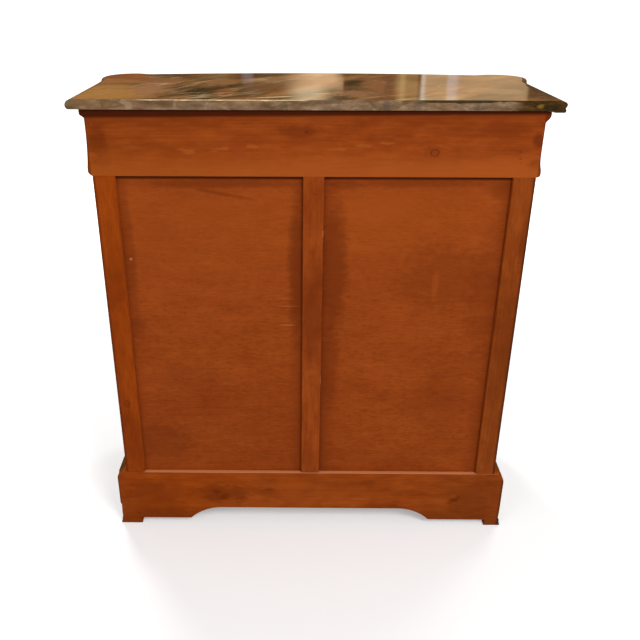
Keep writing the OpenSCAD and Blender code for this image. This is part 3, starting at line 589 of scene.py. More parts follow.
def level_boards(r, where, wear):
    """The frieze board, the plinth board and the feet, with their knots, nail marks and stains, painted shade
    under the marble slab and towards the floor, painted light on the foot of the frieze and a painted
    highlight along the ledge under the panels.
    """
    v = where
    knots = []
    for x, z, radius, longer, depth in (
        (-202.1, 788.3, 6, 1.1, 0.8), (10, 821.5, 4.2, 1.5, 0.22), (180.9, 74.4, 8.5, 1.5, 0.36),
        (142.5, 66, 7, 1.6, 0.2), (-298.9, 65.6, 6, 1.4, 0.1), (-176.7, 50, 3.5, 1.5, 0.45),
    ):
        x, z, radius = metres(x, z, radius)
        knot = r.place(KNOT, Vector=v, Centre=(x, BOARD_Y, z), Radius=radius, Stretch=longer)
        v = knot["Vector"]
        knots.append((knot, depth))
    values = {"Heart": (0.18, 0, 0.7935), "Depth": 0.01, "Taper": 0.035, "Ring_Width": 0.006, "Wander": 0.03}
    grain = r.place(BOARD_GRAIN, Vector=v, **values)
    stain(r, v, grain, wear, 0.15)
    for knot, depth in knots:
        r.paint(knot["Ring"] * depth, KNOT_DARK)
        r.paint(knot["Heart"] * (depth * 0.45), STAIN_DARK)
    nails = ((-344.7, 790.5, 4, 2, 0.55), (-346.3, 778.8, 4, 2, 0.55))
    nails += ((-347.1, 772.1, 4, 1.6, 0.5), (359.6, 25.6, 3.5, 4, 0.6))
    r.marks(STAIN_BLACK, 0.5, *nails)
    smudges = (
        (-372, 810, 12, 18, 0.75), (-374, 768.8, 18, 13, 0.95), (362, 805, 22, 40, 0.5),
        (360, 770, 24, 12, 0.5), (20, 823, 50, 15, 0.55), (12, 822.2, 5, 3, 0.8), (-130, 818, 60, 12, 0.25),
        (270, 834, 30, 6, 0.3), (235, 753, 8, 8, 0.4), (-310, 825, 50, 20, 0.35), (-202.1, 790, 22, 18, 0.32),
        (180, 78, 70, 30, 0.6), (120, 84, 60, 20, 0.25), (178.4, 70.7, 11, 9, 0.75), (144, 66, 10, 7, 0.35),
        (192.4, 83, 12, 7, 0.75), (85, 89.5, 14, 5, 0.55), (-292.5, 58.5, 8, 6, 0.5),
        (-300, 65.5, 10, 7, 0.85), (-308, 73, 9, 6, 0.6), (330, 60, 90, 70, 0.4),
        (-350, 75, 70, 70, 0.35), (-150, 48, 50, 12, 0.25), (-60, 105, 100, 12, 0.2),
    )
    r.marks(STAIN_DARK, 0.9, *smudges)
    licks = (
        (300, 794.6, 30, 3.6, 0.2), (208, 789.3, 17, 4, 0.34), (224, 793, 12, 2.4, 0.22),
        (156.5, 793.5, 17, 4, 0.36), (166, 789, 12, 2.2, 0.22), (101, 797.5, 16, 3.4, 0.28),
        (-40, 794, 18, 3.6, 0.32), (-83, 799.5, 18, 3, 0.24), (-120, 804, 26, 3.2, 0.26),
    )
    r.marks((0.43, 0.115, 0.021), 2.4, *licks)
    pale = ((190, 810, 80, 16, 0.3), (-12, 797, 45, 14, 0.3))
    pale += ((-265, 797, 35, 14, 0.25), (30, 100, 80, 14, 0.35))
    r.marks(STAIN_PALE, 0.9, *pale)
    x, y, z = r.split(where)
    out = abs(x)
    # Painted light: the lower part of the frieze board paler, fading upwards.
    r.paint(r.step(z, 0.8, 0.752) * r.step(z, 0.5, 0.6) * 0.75, (0.345, 0.074, 0.01))
    upper = r.step(z, 0.7, 0.72)
    r.paint(upper * r.step(x, 0.15, 0.25), (0.94, 0.95, 0.82), "MULTIPLY")
    # Painted shade: darker towards the floor.
    r.paint(r.step(z, 0.06, 0.012) * 0.5, STAIN_DARK)
    # Painted shade under the marble slab: the top of the frieze board darker, and right under the slab a dark
    # band, the painted shadow of the slab's overhang, tapering along the board.
    r.paint(r.step(z, 0.82, 0.848) * (0.32 + r.step(x, 0.1, 0.34) * 0.22), STAIN_DARK)
    shade = r.step(z - (0.85 - x * 0.0097), -0.005, 0.0008)
    r.paint(shade * 0.94, (0.038, 0.005, 0.0002))
    base = r.step(z, 0.134, 0.13)
    r.paint(base, (1.1, 1.13, 0.92), "MULTIPLY")
    r.paint(base * r.step(x, 0.1, 0.25), (0.98, 0.91, 0.5), "MULTIPLY")
    r.paint(base * r.step(x, -0.2, -0.3), (0.89, 0.92, 0.9), "MULTIPLY")
    rim = r.step(out, 0.3765, 0.3805) * (upper * 0.55)
    low_rim = r.math("MAXIMUM", r.step(out, 0.3925, 0.3965), r.step(z, 0.002, 0.0005))
    low_rim = low_rim * r.step(z, 0.122, 0.112)
    r.paint(r.math("MAXIMUM", rim, low_rim * 0.6), STAIN_BLACK)
    # Painted highlight along the ledge of the plinth board under the panels, fainter past them at one end.
    ledge = r.between(z, 0.1309, 0.1317, 0.1329, 0.1336) * r.step(y, 0.17, 0.1722)
    highlight_reach = r.step(out, 0.345, 0.335) + r.step(x, -0.335, -0.345) * 0.35
    r.paint(ledge * highlight_reach * 0.9, PALE_WEAR_AND_HIGHLIGHT)
    return grain["Rings"] * -0.3 + grain["Fibres"]


def upright_boards(r, where, wear):
    """The stiles and the muntin. Their length is turned along X for the grain."""
    v = r.turn(where, 0, 90, 0)
    knot = r.place(KNOT, Vector=v, Centre=(0.2944, BOARD_Y, -0.3606), Radius=0.0055, Stretch=1.3)
    v = knot["Vector"]
    values = {"Heart": (0.9, 0, 0.02), "Depth": 0.03, "Taper": 0.02, "Ring_Width": 0.0055, "Wander": 0.02}
    grain = r.place(BOARD_GRAIN, Vector=v, **values)
    stain(r, v, grain, wear, 0.12)
    r.paint(knot["Ring"] * 0.5, KNOT_DARK)
    r.paint(knot["Heart"] * 0.4, STAIN_DARK)
    smudges = (
        (0, 490, 30, 150, 0.45), (0, 690, 30, 70, 0.25), (362, 560, 20, 90, 0.12), (360, 220, 30, 100, 0.2),
        (-360, 360, 30, 300, 0.3), (-370, 630, 10, 60, 0.35), (-4, 717.2, 2.4, 2.4, 0.6),
        (-12.2, 738.2, 2.2, 2.2, 0.5), (336.6, 485.5, 4, 6, 0.5),
    )
    r.marks(STAIN_DARK, 0.8, *smudges)
    r.marks(PALE_WEAR_AND_HIGHLIGHT, 0.9, (-18, 645.4, 2.2, 8, 0.6), (-18, 351.1, 1.6, 15, 0.6))
    x, y, _ = r.split(where)
    out = abs(x)
    r.paint(r.step(x, 0.3, 0.33), (0.96, 0.84, 0.3), "MULTIPLY")
    r.paint(r.step(x, -0.3, -0.33), (0.88, 0.94, 0.88), "MULTIPLY")
    r.paint(r.step(out, 0.37, 0.376) * (0.55 + r.step(x, 0.1, -0.1) * 0.3), STAIN_BLACK)
    # Painted light on the side faces of the stiles and the muntin, lifting the shade of the recess.
    edge = r.step(out, 0.35, 0.345) * r.step(y, 0.1786, 0.1776)
    r.paint(edge * 0.7, (0.46, 0.095, 0.013))
    return grain["Fibres"]


def back_panels(r, where, wear):
    """The two thin panels: fine level grain, darker along the framing, paler towards the top with painted
    light, and painted shade under the frieze board.
    """
    values = {"Heart": (0.1, 0, 0.4), "Depth": 0.05, "Taper": 0.01, "Ring_Width": 0.009, "Wander": 0.06}
    grain = r.place(BOARD_GRAIN, Vector=where, **values)
    stain(r, where, grain, wear, 0.05, 0.55)
    weave = r.noise(r.stretch(where, 330, 60, 24), detail=2)
    r.paint(r.step(weave, 0.45, 0.7) * 0.07, STAIN_DARK)
    fine = r.noise(r.stretch(where, 90, 200, 380), detail=3, rough=0.6)
    r.paint(r.step(fine, 0.5, 0.68) * 0.3, STAIN_DARK)
    r.paint(r.step(fine, 0.48, 0.3) * 0.3, STAIN_PALE)
    x, _, z = r.split(where)
    out = abs(x)
    ragged = r.noise(r.stretch(where, 9, 9, 4), detail=4) * 0.06
    near = r.step(r.math("MINIMUM", out - 0.018, 0.339 - out), ragged, -0.012)
    r.paint(near * (0.62 - r.step(x, 0.22, 0.31) * 0.38), STAIN_DARK)
    # Painted light: paler towards the top, away from the framing.
    r.paint(r.step(z, 0.4, 0.71) * (1.0 - near) * 0.32, STAIN_PALE)
    # Painted shade under the frieze board: a darker band along the top of the panels and a dark line right
    # under the board.
    r.paint(r.step(z, 0.714, 0.738) * 0.28, STAIN_DARK)
    r.paint(r.step(z, 0.7385, 0.7425) * 0.8, STAIN_BLACK)
    # Darker patches. The rows at heights 724 to 735 lie along the top of the panels and are painted shade
    # under the frieze board.
    smudges = (
        (-38, 570, 34, 180, 0.6), (-54, 733, 34, 16, 0.4), (-315, 520, 40, 180, 0.28),
        (295, 200, 85, 65, 0.36), (-35, 380, 25, 110, 0.35), (28, 570, 22, 190, 0.6),
        (230, 330, 90, 80, 0.22), (130, 250, 150, 60, 0.08), (-250, 300, 80, 100, 0.15),
        (330, 600, 16, 180, 0.35), (170, 733, 160, 12, 0.45), (-180, 735, 160, 10, 0.4),
        (-322, 724, 34, 22, 0.38), (325, 460, 20, 30, 0.4), (-238.7, 562, 130, 85, 0.32),
    )
    r.marks(STAIN_DARK, 0.9, *smudges)
    aslant = r.turn(where, 0, 10.4, 0)
    line = r.spot(aslant, (0.2837, BOARD_Y, 0.6746), (0.075, 1, 0.0045), 0.6)
    r.paint(line * 0.45, STAIN_DARK)
    pale = ((-223, 545, 9, 40, 0.36), (-120, 675, 90, 26, 0.3))
    pale += ((-130, 700, 100, 20, 0.25), (170, 695, 120, 20, 0.18))
    r.marks(STAIN_PALE, 0.8, *pale)
    rubbed = ((326.6, 594.3, 3.4, 3.4, 0.55), (44, 464.6, 20, 1.2, 0.35))
    rubbed += ((44, 503, 26, 1.2, 0.22), (50, 518, 18, 1, 0.22))
    r.marks(PALE_WEAR_AND_HIGHLIGHT, 0.5, *rubbed)
    return grain["Fibres"]


stained_level = stained_finish("stained_pine_level", level_boards)
stained_dull = stained_finish("stained_pine_dull", level_boards, 0.0, 0.0, 0.0)
stained_upright = stained_finish("stained_pine_upright", upright_boards)
stained_panel = stained_finish("stained_pine_panel", back_panels)

# ---- Polished walnut ----


def make_walnut(name, upright, heart, ring_width, wander, specular=0.28, grime_and_shade=0.0):
    """Figured walnut under a thin polish that is dull near the back. The grain runs on round the corners."""
    r, where = new_finish(name)
    x, y, z = r.split(where)
    side = r.add("MapRange", {0: x, 1: -0.12, 2: 0.12, 3: -1.0, 4: 1.0})[0]
    along = x + (y + 0.17) * side
    v = r.point(z + side * 0.1, y, abs(along + 0.012)) if upright else r.point(along, y, z)
    wear = r.place(WEAR, Vector=where)
    values = {"Heart": heart, "Depth": 0.014, "Taper": 0.06, "Ring_Width": ring_width, "Wander": wander}
    grain = r.place(BOARD_GRAIN, Vector=v, **values)
    stops = ((0.3, (0.085, 0.031, 0.0095)), (0.48, (0.165, 0.064, 0.0185)), (0.72, (0.255, 0.112, 0.036)))
    r.colour = r.colours(grain["Clouds"], *stops)
    r.paint(grain["Rings"] * 0.4, (0.052, 0.018, 0.006))
    streak = r.step(r.noise(r.stretch(v, 1.6, 8, 34), detail=4, rough=0.6, warp=0.5), 0.5, 0.72)
    r.paint(streak * 0.55, (0.045, 0.016, 0.006))
    pores = r.step(r.noise(r.stretch(v, 55, 1300, 1300), detail=1), 0.62, 0.72)
    r.paint(pores * 0.5, (0.02, 0.008, 0.0035))
    r.paint(wear["Dirt"] * 0.2, (0.045, 0.017, 0.006))
    r.paint(wear["Arris"] * 0.4, (0.3, 0.13, 0.045))
    rear = r.step(y, 0.06, 0.14)
    # Darker towards the back: partly dirt, partly painted shade.
    r.paint(r.step(y, 0.112, 0.15) * grime_and_shade, (0.12, 0.044, 0.01))
    r.fill(r.shader.inputs["Coat Roughness"], 0.14)
    r.fill(r.shader.inputs["Coat Weight"], (1.0 - rear) * (0.2 - wear["Rubs"] * 0.1))
    rough = wear["Rubs"] * 0.2 + (0.32 + rear * 0.4)
    return r.finish(rough, grain["Fibres"] - pores, 0.00012, 0.3, specular)


walnut_upright = make_walnut("walnut_upright", True, (0.45, 0, 0.17), 0.0085, 0.05)
walnut_level = make_walnut("walnut_level", False, (0.05, 0, 0.8), 0.0075, 0.04)
walnut_grimy_shaded = make_walnut("walnut_grimy_shaded", False, (0.05, 0, 0.8), 0.0075, 0.04, 0.0, 0.75)

# ---- Bare pine inside ----


def make_bare_pine(name, degrees, height):
    """Unpolished inner boards, yellowed and a little dusty."""
    r, where = new_finish(name)
    wear = r.place(WEAR, Vector=where)
    values = {"Heart": (0, 0, height), "Depth": 0.02, "Taper": 0.04, "Ring_Width": 0.006, "Wander": 0.03}
    grain = r.place(BOARD_GRAIN, Vector=r.turn(where, 0, 0, degrees), **values)
    stops = ((0.3, (0.43, 0.24, 0.105)), (0.5, (0.54, 0.33, 0.155)), (0.72, (0.62, 0.41, 0.215)))
    r.colour = r.colours(grain["Clouds"], *stops)
    r.paint(grain["Rings"] * 0.45, (0.33, 0.15, 0.05))
    r.paint(r.step(grain["Fibres"], 0.4, 0.7) * 0.15, (0.3, 0.16, 0.07))
    r.paint(wear["Dirt"] * 0.18, (0.21, 0.125, 0.07))
    r.paint(wear["Arris"] * 0.3, (0.2, 0.11, 0.055))
    return r.finish(wear["Rubs"] * 0.2 + 0.62, grain["Fibres"] - grain["Rings"], 0.0002, 0.35, 0.25)


bare_level = make_bare_pine("bare_pine_level", 0, 0.45)
bare_deep = make_bare_pine("bare_pine_deep", 90, 0.78)

# ---- Marble ----


def stone_colour(r, where):
    """Ochre, red-brown and olive clouds with cream veins that run aslant, the same through the slab."""

    def blots(at, fray, *rows):
        """Each row gives x, y, half width, half depth, strength and tint."""
        for *lengths, strength, tint in rows:
            x, y, wide, deep = metres(*lengths)
            r.paint(r.spot(at, (x, y, 0.87), (wide, deep, 1), fray) * strength, tint)

    v = r.turn(where, 0, 0, -50)
    warp = r.add("TexNoise", {0: r.stretch(v, 4, 7, 7), 2: 1.0, 3: 3.0, 4: 0.5})["Color"]
    bend = r.stretch(r.vector("SUBTRACT", warp, (0.5, 0.5, 0.5)), 0.1, 0.1, 0.1)
    v = r.vector("ADD", v, bend)
    clouds = r.noise(r.stretch(v, 5, 12, 12), detail=6, rough=0.58)
    stops = ((0.3, (0.058, 0.035, 0.009)), (0.42, (0.19, 0.084, 0.022)), (0.52, (0.34, 0.135, 0.036)))
    stops += ((0.64, (0.47, 0.22, 0.072)), (0.78, (0.62, 0.38, 0.17)))
    r.colour = r.colours(clouds, *stops)
    patches = (
        (365, 120, 110, 110, 0.85, (0.7, 0.315, 0.065)), (290, 0, 50, 170, 0.8, (0.56, 0.25, 0.11)),
        (375, -110, 120, 70, 0.85, (0.44, 0.12, 0.022)), (198, 85, 32, 52, 0.92, (0.06, 0.034, 0.005)),
        (205, -95, 70, 65, 0.75, (0.15, 0.075, 0.014)), (155, 90, 28, 60, 0.8, (0.38, 0.13, 0.022)),
        (90, 0, 55, 120, 0.6, (0.29, 0.135, 0.045)), (-78, -20, 24, 60, 0.85, (0.06, 0.038, 0.008)),
        (-128, 20, 52, 150, 0.8, (0.43, 0.165, 0.058)), (-190, 60, 26, 200, 0.7, (0.36, 0.2, 0.074)),
        (-390, 60, 80, 180, 0.85, (0.15, 0.065, 0.02)),
    )
    blots(r.vector("ADD", where, bend), 0.6, *patches)
    touches = (
        (355, -40, 85, 40, 0.8, (0.55, 0.215, 0.06)), (370, 35, 80, 40, 0.45, (0.76, 0.34, 0.09)),
        (370, 130, 120, 50, 0.45, (0.5, 0.24, 0.07)), (290, -70, 55, 65, 0.75, (0.35, 0.14, 0.042)),
        (175, -40, 45, 80, 0.75, (0.47, 0.21, 0.07)), (257, 85, 26, 34, 0.7, (0.47, 0.215, 0.085)),
        (165, 88, 40, 30, 0.55, (0.27, 0.1, 0.028)), (75, -45, 34, 34, 0.5, (0.54, 0.3, 0.14)),
        (-73, 112, 50, 62, 0.85, (0.45, 0.205, 0.085)), (-162, 10, 24, 190, 0.7, (0.37, 0.19, 0.07)),
        (-172, 110, 14, 70, 0.7, (0.33, 0.165, 0.06)), (-330, 80, 55, 55, 0.55, (0.46, 0.25, 0.1)),
        (290, -125, 50, 45, 0.8, (0.13, 0.052, 0.01)), (198, 100, 36, 44, 0.85, (0.075, 0.04, 0.006)),
        (272, 11, 26, 30, 0.5, (0.3, 0.12, 0.04)), (-180, 150, 30, 40, 0.6, (0.15, 0.085, 0.022)),
    )
    blots(where, 1.2, *touches)
    cream = (0.86, 0.64, 0.36)
    streaks = ((106, 128, 50, 9, 0.85, cream), (20, 110, 35, 6, 0.45, cream))
    streaks += ((240, 45, 40, 5, 0.3, cream), (175, 60, 30, 4, 0.45, cream))
    blots(r.turn(where, 0, 0, -16), 1.2, *streaks)
    # A dark stripe run front to back and turned a little: painted shade standing in for a gap in the
    # reflection on the polished top.
    blots(r.turn(where, 0, 0, 7), 0.5, (-138.5, 5, 12, 300, 0.85, (0.27, 0.105, 0.032)))
    vein = r.noise(r.stretch(v, 1.6, 17, 17), detail=3, rough=0.5)
    vein = r.step(abs(vein - 0.5), 0.034, 0.0)
    plainer = 1.0 - r.step(r.split(where)[0], -0.14, -0.22) * 0.75
    broken = r.step(r.noise(v, scale=6, detail=2), 0.46, 0.66) * plainer
    r.paint(vein * broken * 0.75, (0.74, 0.52, 0.27))
    hair = r.noise(r.stretch(v, 4, 42, 42), detail=3, rough=0.55)
    hair = r.step(abs(hair - 0.5), 0.018, 0.0)
    r.paint(hair * plainer * 0.3, (0.56, 0.36, 0.16))


def make_polished_marble():
    r, where = new_finish("marble_polished")
    stone_colour(r, where)
    wear = r.place(WEAR, Vector=where)
    return r.finish(wear["Rubs"] * 0.05 + 0.07, r.noise(where, scale=14, detail=2), 0.0004, 0.08)


def make_sawn_marble():
    """The back of the slab, left from the saw: greyer and paler, with faint saw lines and dust."""
    r, where = new_finish("marble_sawn")
    stone_colour(r, where)
    x = r.split(where)[0]
    dust = r.noise(r.stretch(where, 26, 26, 90), detail=6, rough=0.66)
    grey = ((0.34, (0.072, 0.044, 0.024)), (0.5, (0.15, 0.092, 0.053)), (0.66, (0.26, 0.172, 0.106)))
    r.paint(0.86, r.colours(dust, *grey))
    dark = r.step(r.noise(r.stretch(where, 17, 17, 9), detail=4, rough=0.6), 0.54, 0.66)
    r.paint(dark * 0.55, (0.07, 0.043, 0.022))
    pale = r.step(r.noise(r.stretch(where, 31, 31, 60), detail=4, warp=0.7), 0.56, 0.68)
    r.paint(pale * 0.4, (0.4, 0.29, 0.18))
    figure = r.colours(dust, (0.4, (0.014, 0.007, 0.0006)), (0.62, (0.095, 0.042, 0.004)))
    r.paint(r.step(x, -0.315, -0.345) * 0.94, figure)
    r.paint(r.step(x, 0.375, 0.398) * 0.55, (0.085, 0.058, 0.016))
    grimy, gold = (0.075, 0.052, 0.036), (0.36, 0.17, 0.026)
    for at, wide, high, fray, strength, tint in (
        (-117, 10, 12, 0.9, 0.55, grimy), (-168, 12, 12, 0.9, 0.55, grimy), (-366, 8, 5, 1.3, 0.45, gold)
    ):
        at, wide, high = metres(at, wide, high)
        r.paint(r.spot(where, (at, BACK_Y, 0.866), (wide, 1, high), fray) * strength, tint)
    # Painted highlight along the broken top arris between x 0 and 0.3; below x -0.16 the arris is dark.
    arris = r.arris()
    patchy = r.step(r.noise(r.stretch(where, 40, 40, 40), detail=3), 0.28, 0.45)
    r.paint(arris * r.between(x, 0.0, 0.03, 0.272, 0.302) * patchy * 0.9, (0.78, 0.6, 0.33))
    r.paint(arris * r.step(x, -0.16, -0.19) * 0.92, (0.03, 0.02, 0.005))
    saw = r.noise(r.stretch(where, 40, 40, 900), detail=2)
    return r.finish(0.62, saw + dust, 0.0003, 0.35, 0.05)


marble_polished = make_polished_marble()
marble_sawn = make_sawn_marble()

# ---- Metals ----


def make_brass():
    r, where = new_finish("brass_handled")
    wear = r.place(WEAR, Vector=where)
    tarnish = r.step(r.noise(where, scale=70, detail=5, rough=0.6), 0.4, 0.7)
    r.colour = r.mix(tarnish, (0.62, 0.41, 0.15), (0.24, 0.14, 0.05))
    r.paint(wear["Arris"] * 0.7, (0.8, 0.6, 0.28))
    return r.finish(tarnish * 0.25 + 0.24, r.noise(where, scale=300, detail=2), 0.0001, 0.15, metallic=1.0)


def make_iron():
    r, where = new_finish("iron_dark")
    wear = r.place(WEAR, Vector=where)
    rust = r.step(r.noise(where, scale=120, detail=6, rough=0.65), 0.5, 0.66)
    r.colour = r.mix(rust, (0.095, 0.088, 0.08), (0.11, 0.045, 0.018))
    r.paint(wear["Arris"] * 0.6, (0.3, 0.29, 0.27))
    return r.finish(rust * 0.35 + 0.38, rust, 0.0001, 0.3, metallic=1.0 - rust)


def make_stained_iron():
    """Nail heads under the stain."""
    r, where = new_finish("iron_stained")
    rust = r.step(r.noise(where, scale=400, detail=3), 0.4, 0.65)
    r.colour = r.mix(rust, STAIN_DEEP, STAIN)
    return r.finish(rust * 0.2 + 0.55, rust, 0.0001, 0.3, 0.05)


brass = make_brass()
iron = make_iron()
iron_stained = make_stained_iron()

# ---- Shapes drawn in plan and in outline ----


def swept(name, stations, profile, worn=None):
    """A moulding of the given profile, (set-out, height) points in turn, run along the plan curve.
    worn says how far it is rubbed away at a point and height."""

    def at(point, out, e, z):
        e -= worn(point, z) if worn else 0.0
        return Vector((point.x + out.x * e, point.y + out.y * e, z))

    return extruded(name, [[at(*station, e, z) for e, z in profile] for station in stations])


def circle(steps):
    """The cosine and the sine of each point round a circle."""
    return [(math.cos(2 * math.pi * i / steps), math.sin(2 * math.pi * i / steps)) for i in range(steps)]


def turned(name, centre, profile, steps):
    """Turned work along Y. Each row of the profile gives a distance from the centre and a radius."""
    way = Vector((0, 1, 0))
    side = way.orthogonal().normalized()
    other = way.cross(side)
    rings = []
    for along, radius in (metres(*row) for row in profile):
        middle = centre + way * along
        rings.append([middle + side * (radius * c) + other * (radius * s) for c, s in circle(steps)])
    piece = extruded(name, rings)
    smooth(piece, 50)
    return piece


def share_out(piece, which):
    """Gives each face of a piece one of its materials, by number."""
    for face in piece.data.polygons:
        face.material_index = int(which(face))


# ---- Marble slab ----

BACK_STEPS = 170
RIGHT_EDGE = ((0, 4.2), (1.2, 5.8), (2.8, 7.0), (5, 7.8), (7.5, 8.0), (9.5, 7.4), (11.5, 6.2), (13.2, 4.7))
RIGHT_EDGE += ((14.6, 2.9), (16, 0))
LEFT_EDGE = ((0, 5.6), (1.0, 7.4), (2.6, 8.5), (4.4, 8.3), (5.8, 7.4), (7.0, 8.2), (16, 0))
UNDERCUT = -0.009
SAGGING = 0.17


def chip(x):
    """How far the slab's back arris is broken away at x."""
    small = 0.5 + 0.5 * noise.noise(Vector((x * 90, 3.1, 0)))
    rough = max(0.0, noise.noise(Vector((x * 55, 7.7, 0))) - 0.1)
    worn = eased((x + 0.395) / 0.02) * eased((-0.156 - x) / 0.012)
    deep = eased((x + 0.3) / 0.02) * eased((-0.16 - x) / 0.012)
    even = 0.0008 + 0.0004 * small + rough * 0.002
    return even + worn * (0.0005 + 0.0003 * small + rough * 0.0055) + 0.0024 * deep


def drawn_in(point, side):
    """The slab is a little narrower than the mouldings' plan, at its right corner and its left waist."""
    if side > 0:
        reach = 0.0078 * eased((0.06 - point.y) / 0.185)
    else:
        reach = 0.0036 * eased((0.08 - point.y) / 0.12) + 0.0022 * eased((-0.02 - point.y) / 0.035)
        reach *= (1 - 0.45 * eased((-0.058 - point.y) / 0.015)) * (1 - eased((-0.095 - point.y) / 0.03))
    return Vector((point.x - reach * eased((point.x - 0.33) / 0.05), point.y))


def marble_ring(z, e, right, left, back, hang=0.0):
    """One level of the slab. right and left are the set-outs at the back corners, where the edge is rubbed.
    back gives the point of the sawn edge at x. hang is how much thicker the back left corner grows."""
    half = front_stations() + side_stations(BACK_Y)

    def at(p, n, side):
        share = eased((p.y + 0.06) / 0.16)
        out = e + ((right if side > 0 else left) - e) * share
        spot = drawn_in(p, side) + n * out
        drop = hang * share * (TOP_Z - z) if side < 0 else 0.0
        return Vector((spot.x * side, spot.y, z - drop))

    ring = [at(p, n, 1) for p, n in half[:-1]]
    for i in range(BACK_STEPS + 1):
        x = HALF_W + right - (2 * HALF_W + right + left) * i / BACK_STEPS
        y, level = back(x)
        level -= hang * (TOP_Z - level) * eased((-x - 0.3885) / 0.003)
        ring.append(Vector((x, y, level)))
    return ring + [at(p, n, -1) for p, n in half[-2:0:-1]]


def is_sawn(face):
    """Whether a face of the slab was left from the saw."""
    return face.center.y > BACK_Y - 0.0055 and face.normal.y > 0.35 and abs(face.center.x) < HALF_W + 0.02


def make_marble():
    profile = [(0.0, 5.6)]
    for i in range(9):
        a = math.radians(-90 + 22.5 * i)
        profile.append((2.75 + 2.75 * math.sin(a), 6.25 + 2.75 * math.cos(a)))
    profile.append((5.7, 6.1))
    for i in range(12):
        a = math.radians(-52 + 142 * i / 12)
        profile.append((10.5 + 5.5 * math.sin(a), 10 * math.cos(a)))
    foot = (BACK_Y + UNDERCUT, MARBLE_Z)
    rings = [marble_ring(MARBLE_Z, UNDERCUT, UNDERCUT, UNDERCUT, lambda x: foot)]
    for up, e in profile:
        z = MARBLE_Z + up / 1000
        right = at_step(up, RIGHT_EDGE) / 1000
        left = max(e, at_step(up, LEFT_EDGE)) / 1000
        rings.append(
            marble_ring(z, e / 1000, right, left, lambda x: (BACK_Y, min(z, TOP_Z - chip(x))), SAGGING)
        )
    for e, back in (
        (0.0, lambda x: (BACK_Y, TOP_Z - chip(x) * 0.9)),
        (-0.0015, lambda x: (BACK_Y - chip(x), TOP_Z)),
        (UNDERCUT, lambda x: (BACK_Y + UNDERCUT, TOP_Z)),
    ):
        rings.append(marble_ring(TOP_Z, e, e, e, back))
    slab = extruded("marble_slab", rings)
    smooth(slab, 38)
    finish_piece(slab, (marble_polished, marble_sawn), "carcass", "marble_top")
    share_out(slab, is_sawn)
    worn = slab.data.attributes.new("arris", "FLOAT", "FACE")
    for face in slab.data.polygons:
        worn.data[face.index].value = float(face.material_index == 1 and face.normal.z > 0.2)


make_marble()

# ---- Mouldings of walnut ----

OGEE_H = 0.038
SHOULDER_FOOT = ((110, 398.5), (115.5, 398), (120, 396.8), (123.8, 394.8), (127.2, 391.8))
SHOULDER_HEAD = ((130.5, 388), (133.5, 384.2), (137, 381.2), (141, 379), (146, 377.6), (152, 377))
SHOULDER = [metres(*row) for row in SHOULDER_FOOT + SHOULDER_HEAD]


def cornice_profile():
    points = [(-0.0197, CORNICE_Z)]
    for i in range(9):
        t = 0.5333 * i / 8
        points.append((-0.02 + 0.008 * math.sin(math.radians(150 * t + 10)), CORNICE_Z + 0.022 * t))
    return points + [(-0.012, MARBLE_Z), (-0.0197, MARBLE_Z)]


def ogee_out(t):
    return -0.0015 - 0.0215 * (1 - math.cos(math.pi * t)) / 2


def ogee_profile():
    points = [(-0.023, PLINTH_TOP), (-0.004, PLINTH_TOP)]
    points += [(ogee_out(i / 16) + 0.00002 * i, PLINTH_TOP + OGEE_H * i / 16) for i in range(1, 17)]
    return points + [(-0.023, FLOOR_Z)]


def rubbed_ogee(point, z):
    """The left ogee is rubbed back at its end to the round shoulder of the plinth board."""
    shoulder = at_step(z, SHOULDER)
    if not shoulder:
        return 0.0
    proud = HALF_W + ogee_out((z - PLINTH_TOP) / OGEE_H) - shoulder
    return max(0.0, proud + 0.0006) * eased((point.y - 0.04) / 0.08)


def moulding(piece, node=None, material=walnut_level, degrees=40):
    smooth(piece, degrees)
    finish_piece(piece, material, "carcass", node)


def make_mouldings():
    rail = [Vector((x * POST_IN / 16, bow_y(x * POST_IN / 16, FRONT_OUT), 0)) for x in range(-16, 17)]
    rail += [Vector((POST_IN, POST_BACK, 0)), Vector((-POST_IN, POST_BACK, 0))]
    levels = [[Vector((p.x, p.y, z)) for p in rail] for z in (CORNICE_Z, MARBLE_Z)]
    front = [swept("cornice_run", whole_front(), cornice_profile()), extruded("top_rail", levels)]
    moulding(joined("cornice_front_wood", front), "cornice_front")
    run = side_stations(FRAME_Y)
    stops = (0.119, 0.099, 0.079, 0.059, 0.039, 0.019)
    run[-1:-1] = [(Vector((HALF_W, FRAME_Y - d)), OUTWARD) for d in stops]
    for kind, profile in (("cornice", cornice_profile()), ("ogee", ogee_profile())):
        for side, stations in (("right", run), ("left", mirrored(run))):
            node = f"{kind}_{side}"
            piece = swept(node + "_wood", stations, profile, rubbed_ogee if node == "ogee_left" else None)
            moulding(piece, node, (walnut_level, walnut_grimy_shaded))
            if kind == "ogee":
                share_out(piece, lambda face: face.center.y > 0.111)
    moulding(swept("ogee_front_wood", whole_front(), ogee_profile()), "ogee_front")


def make_frieze_cove():
    """A small hollow above the bead at the foot of the frieze."""
    profile = [(-0.0204, 0.7572), (-0.0172, 0.7576)]
    for i in range(1, 8):
        a = math.radians(90 * i / 7)
        profile.append((-0.0172 - 0.0029 * math.sin(a), 0.7631 - 0.0055 * math.cos(a)))
    profile.append((-0.0204, 0.7631))
    side = side_stations(FRAME_Y)[1:]
    run = mirrored(side)[::-1] + whole_front() + side
    moulding(swept("frieze_cove", run, profile), degrees=50)


make_mouldings()
make_frieze_cove()

# ---- Back boards ----


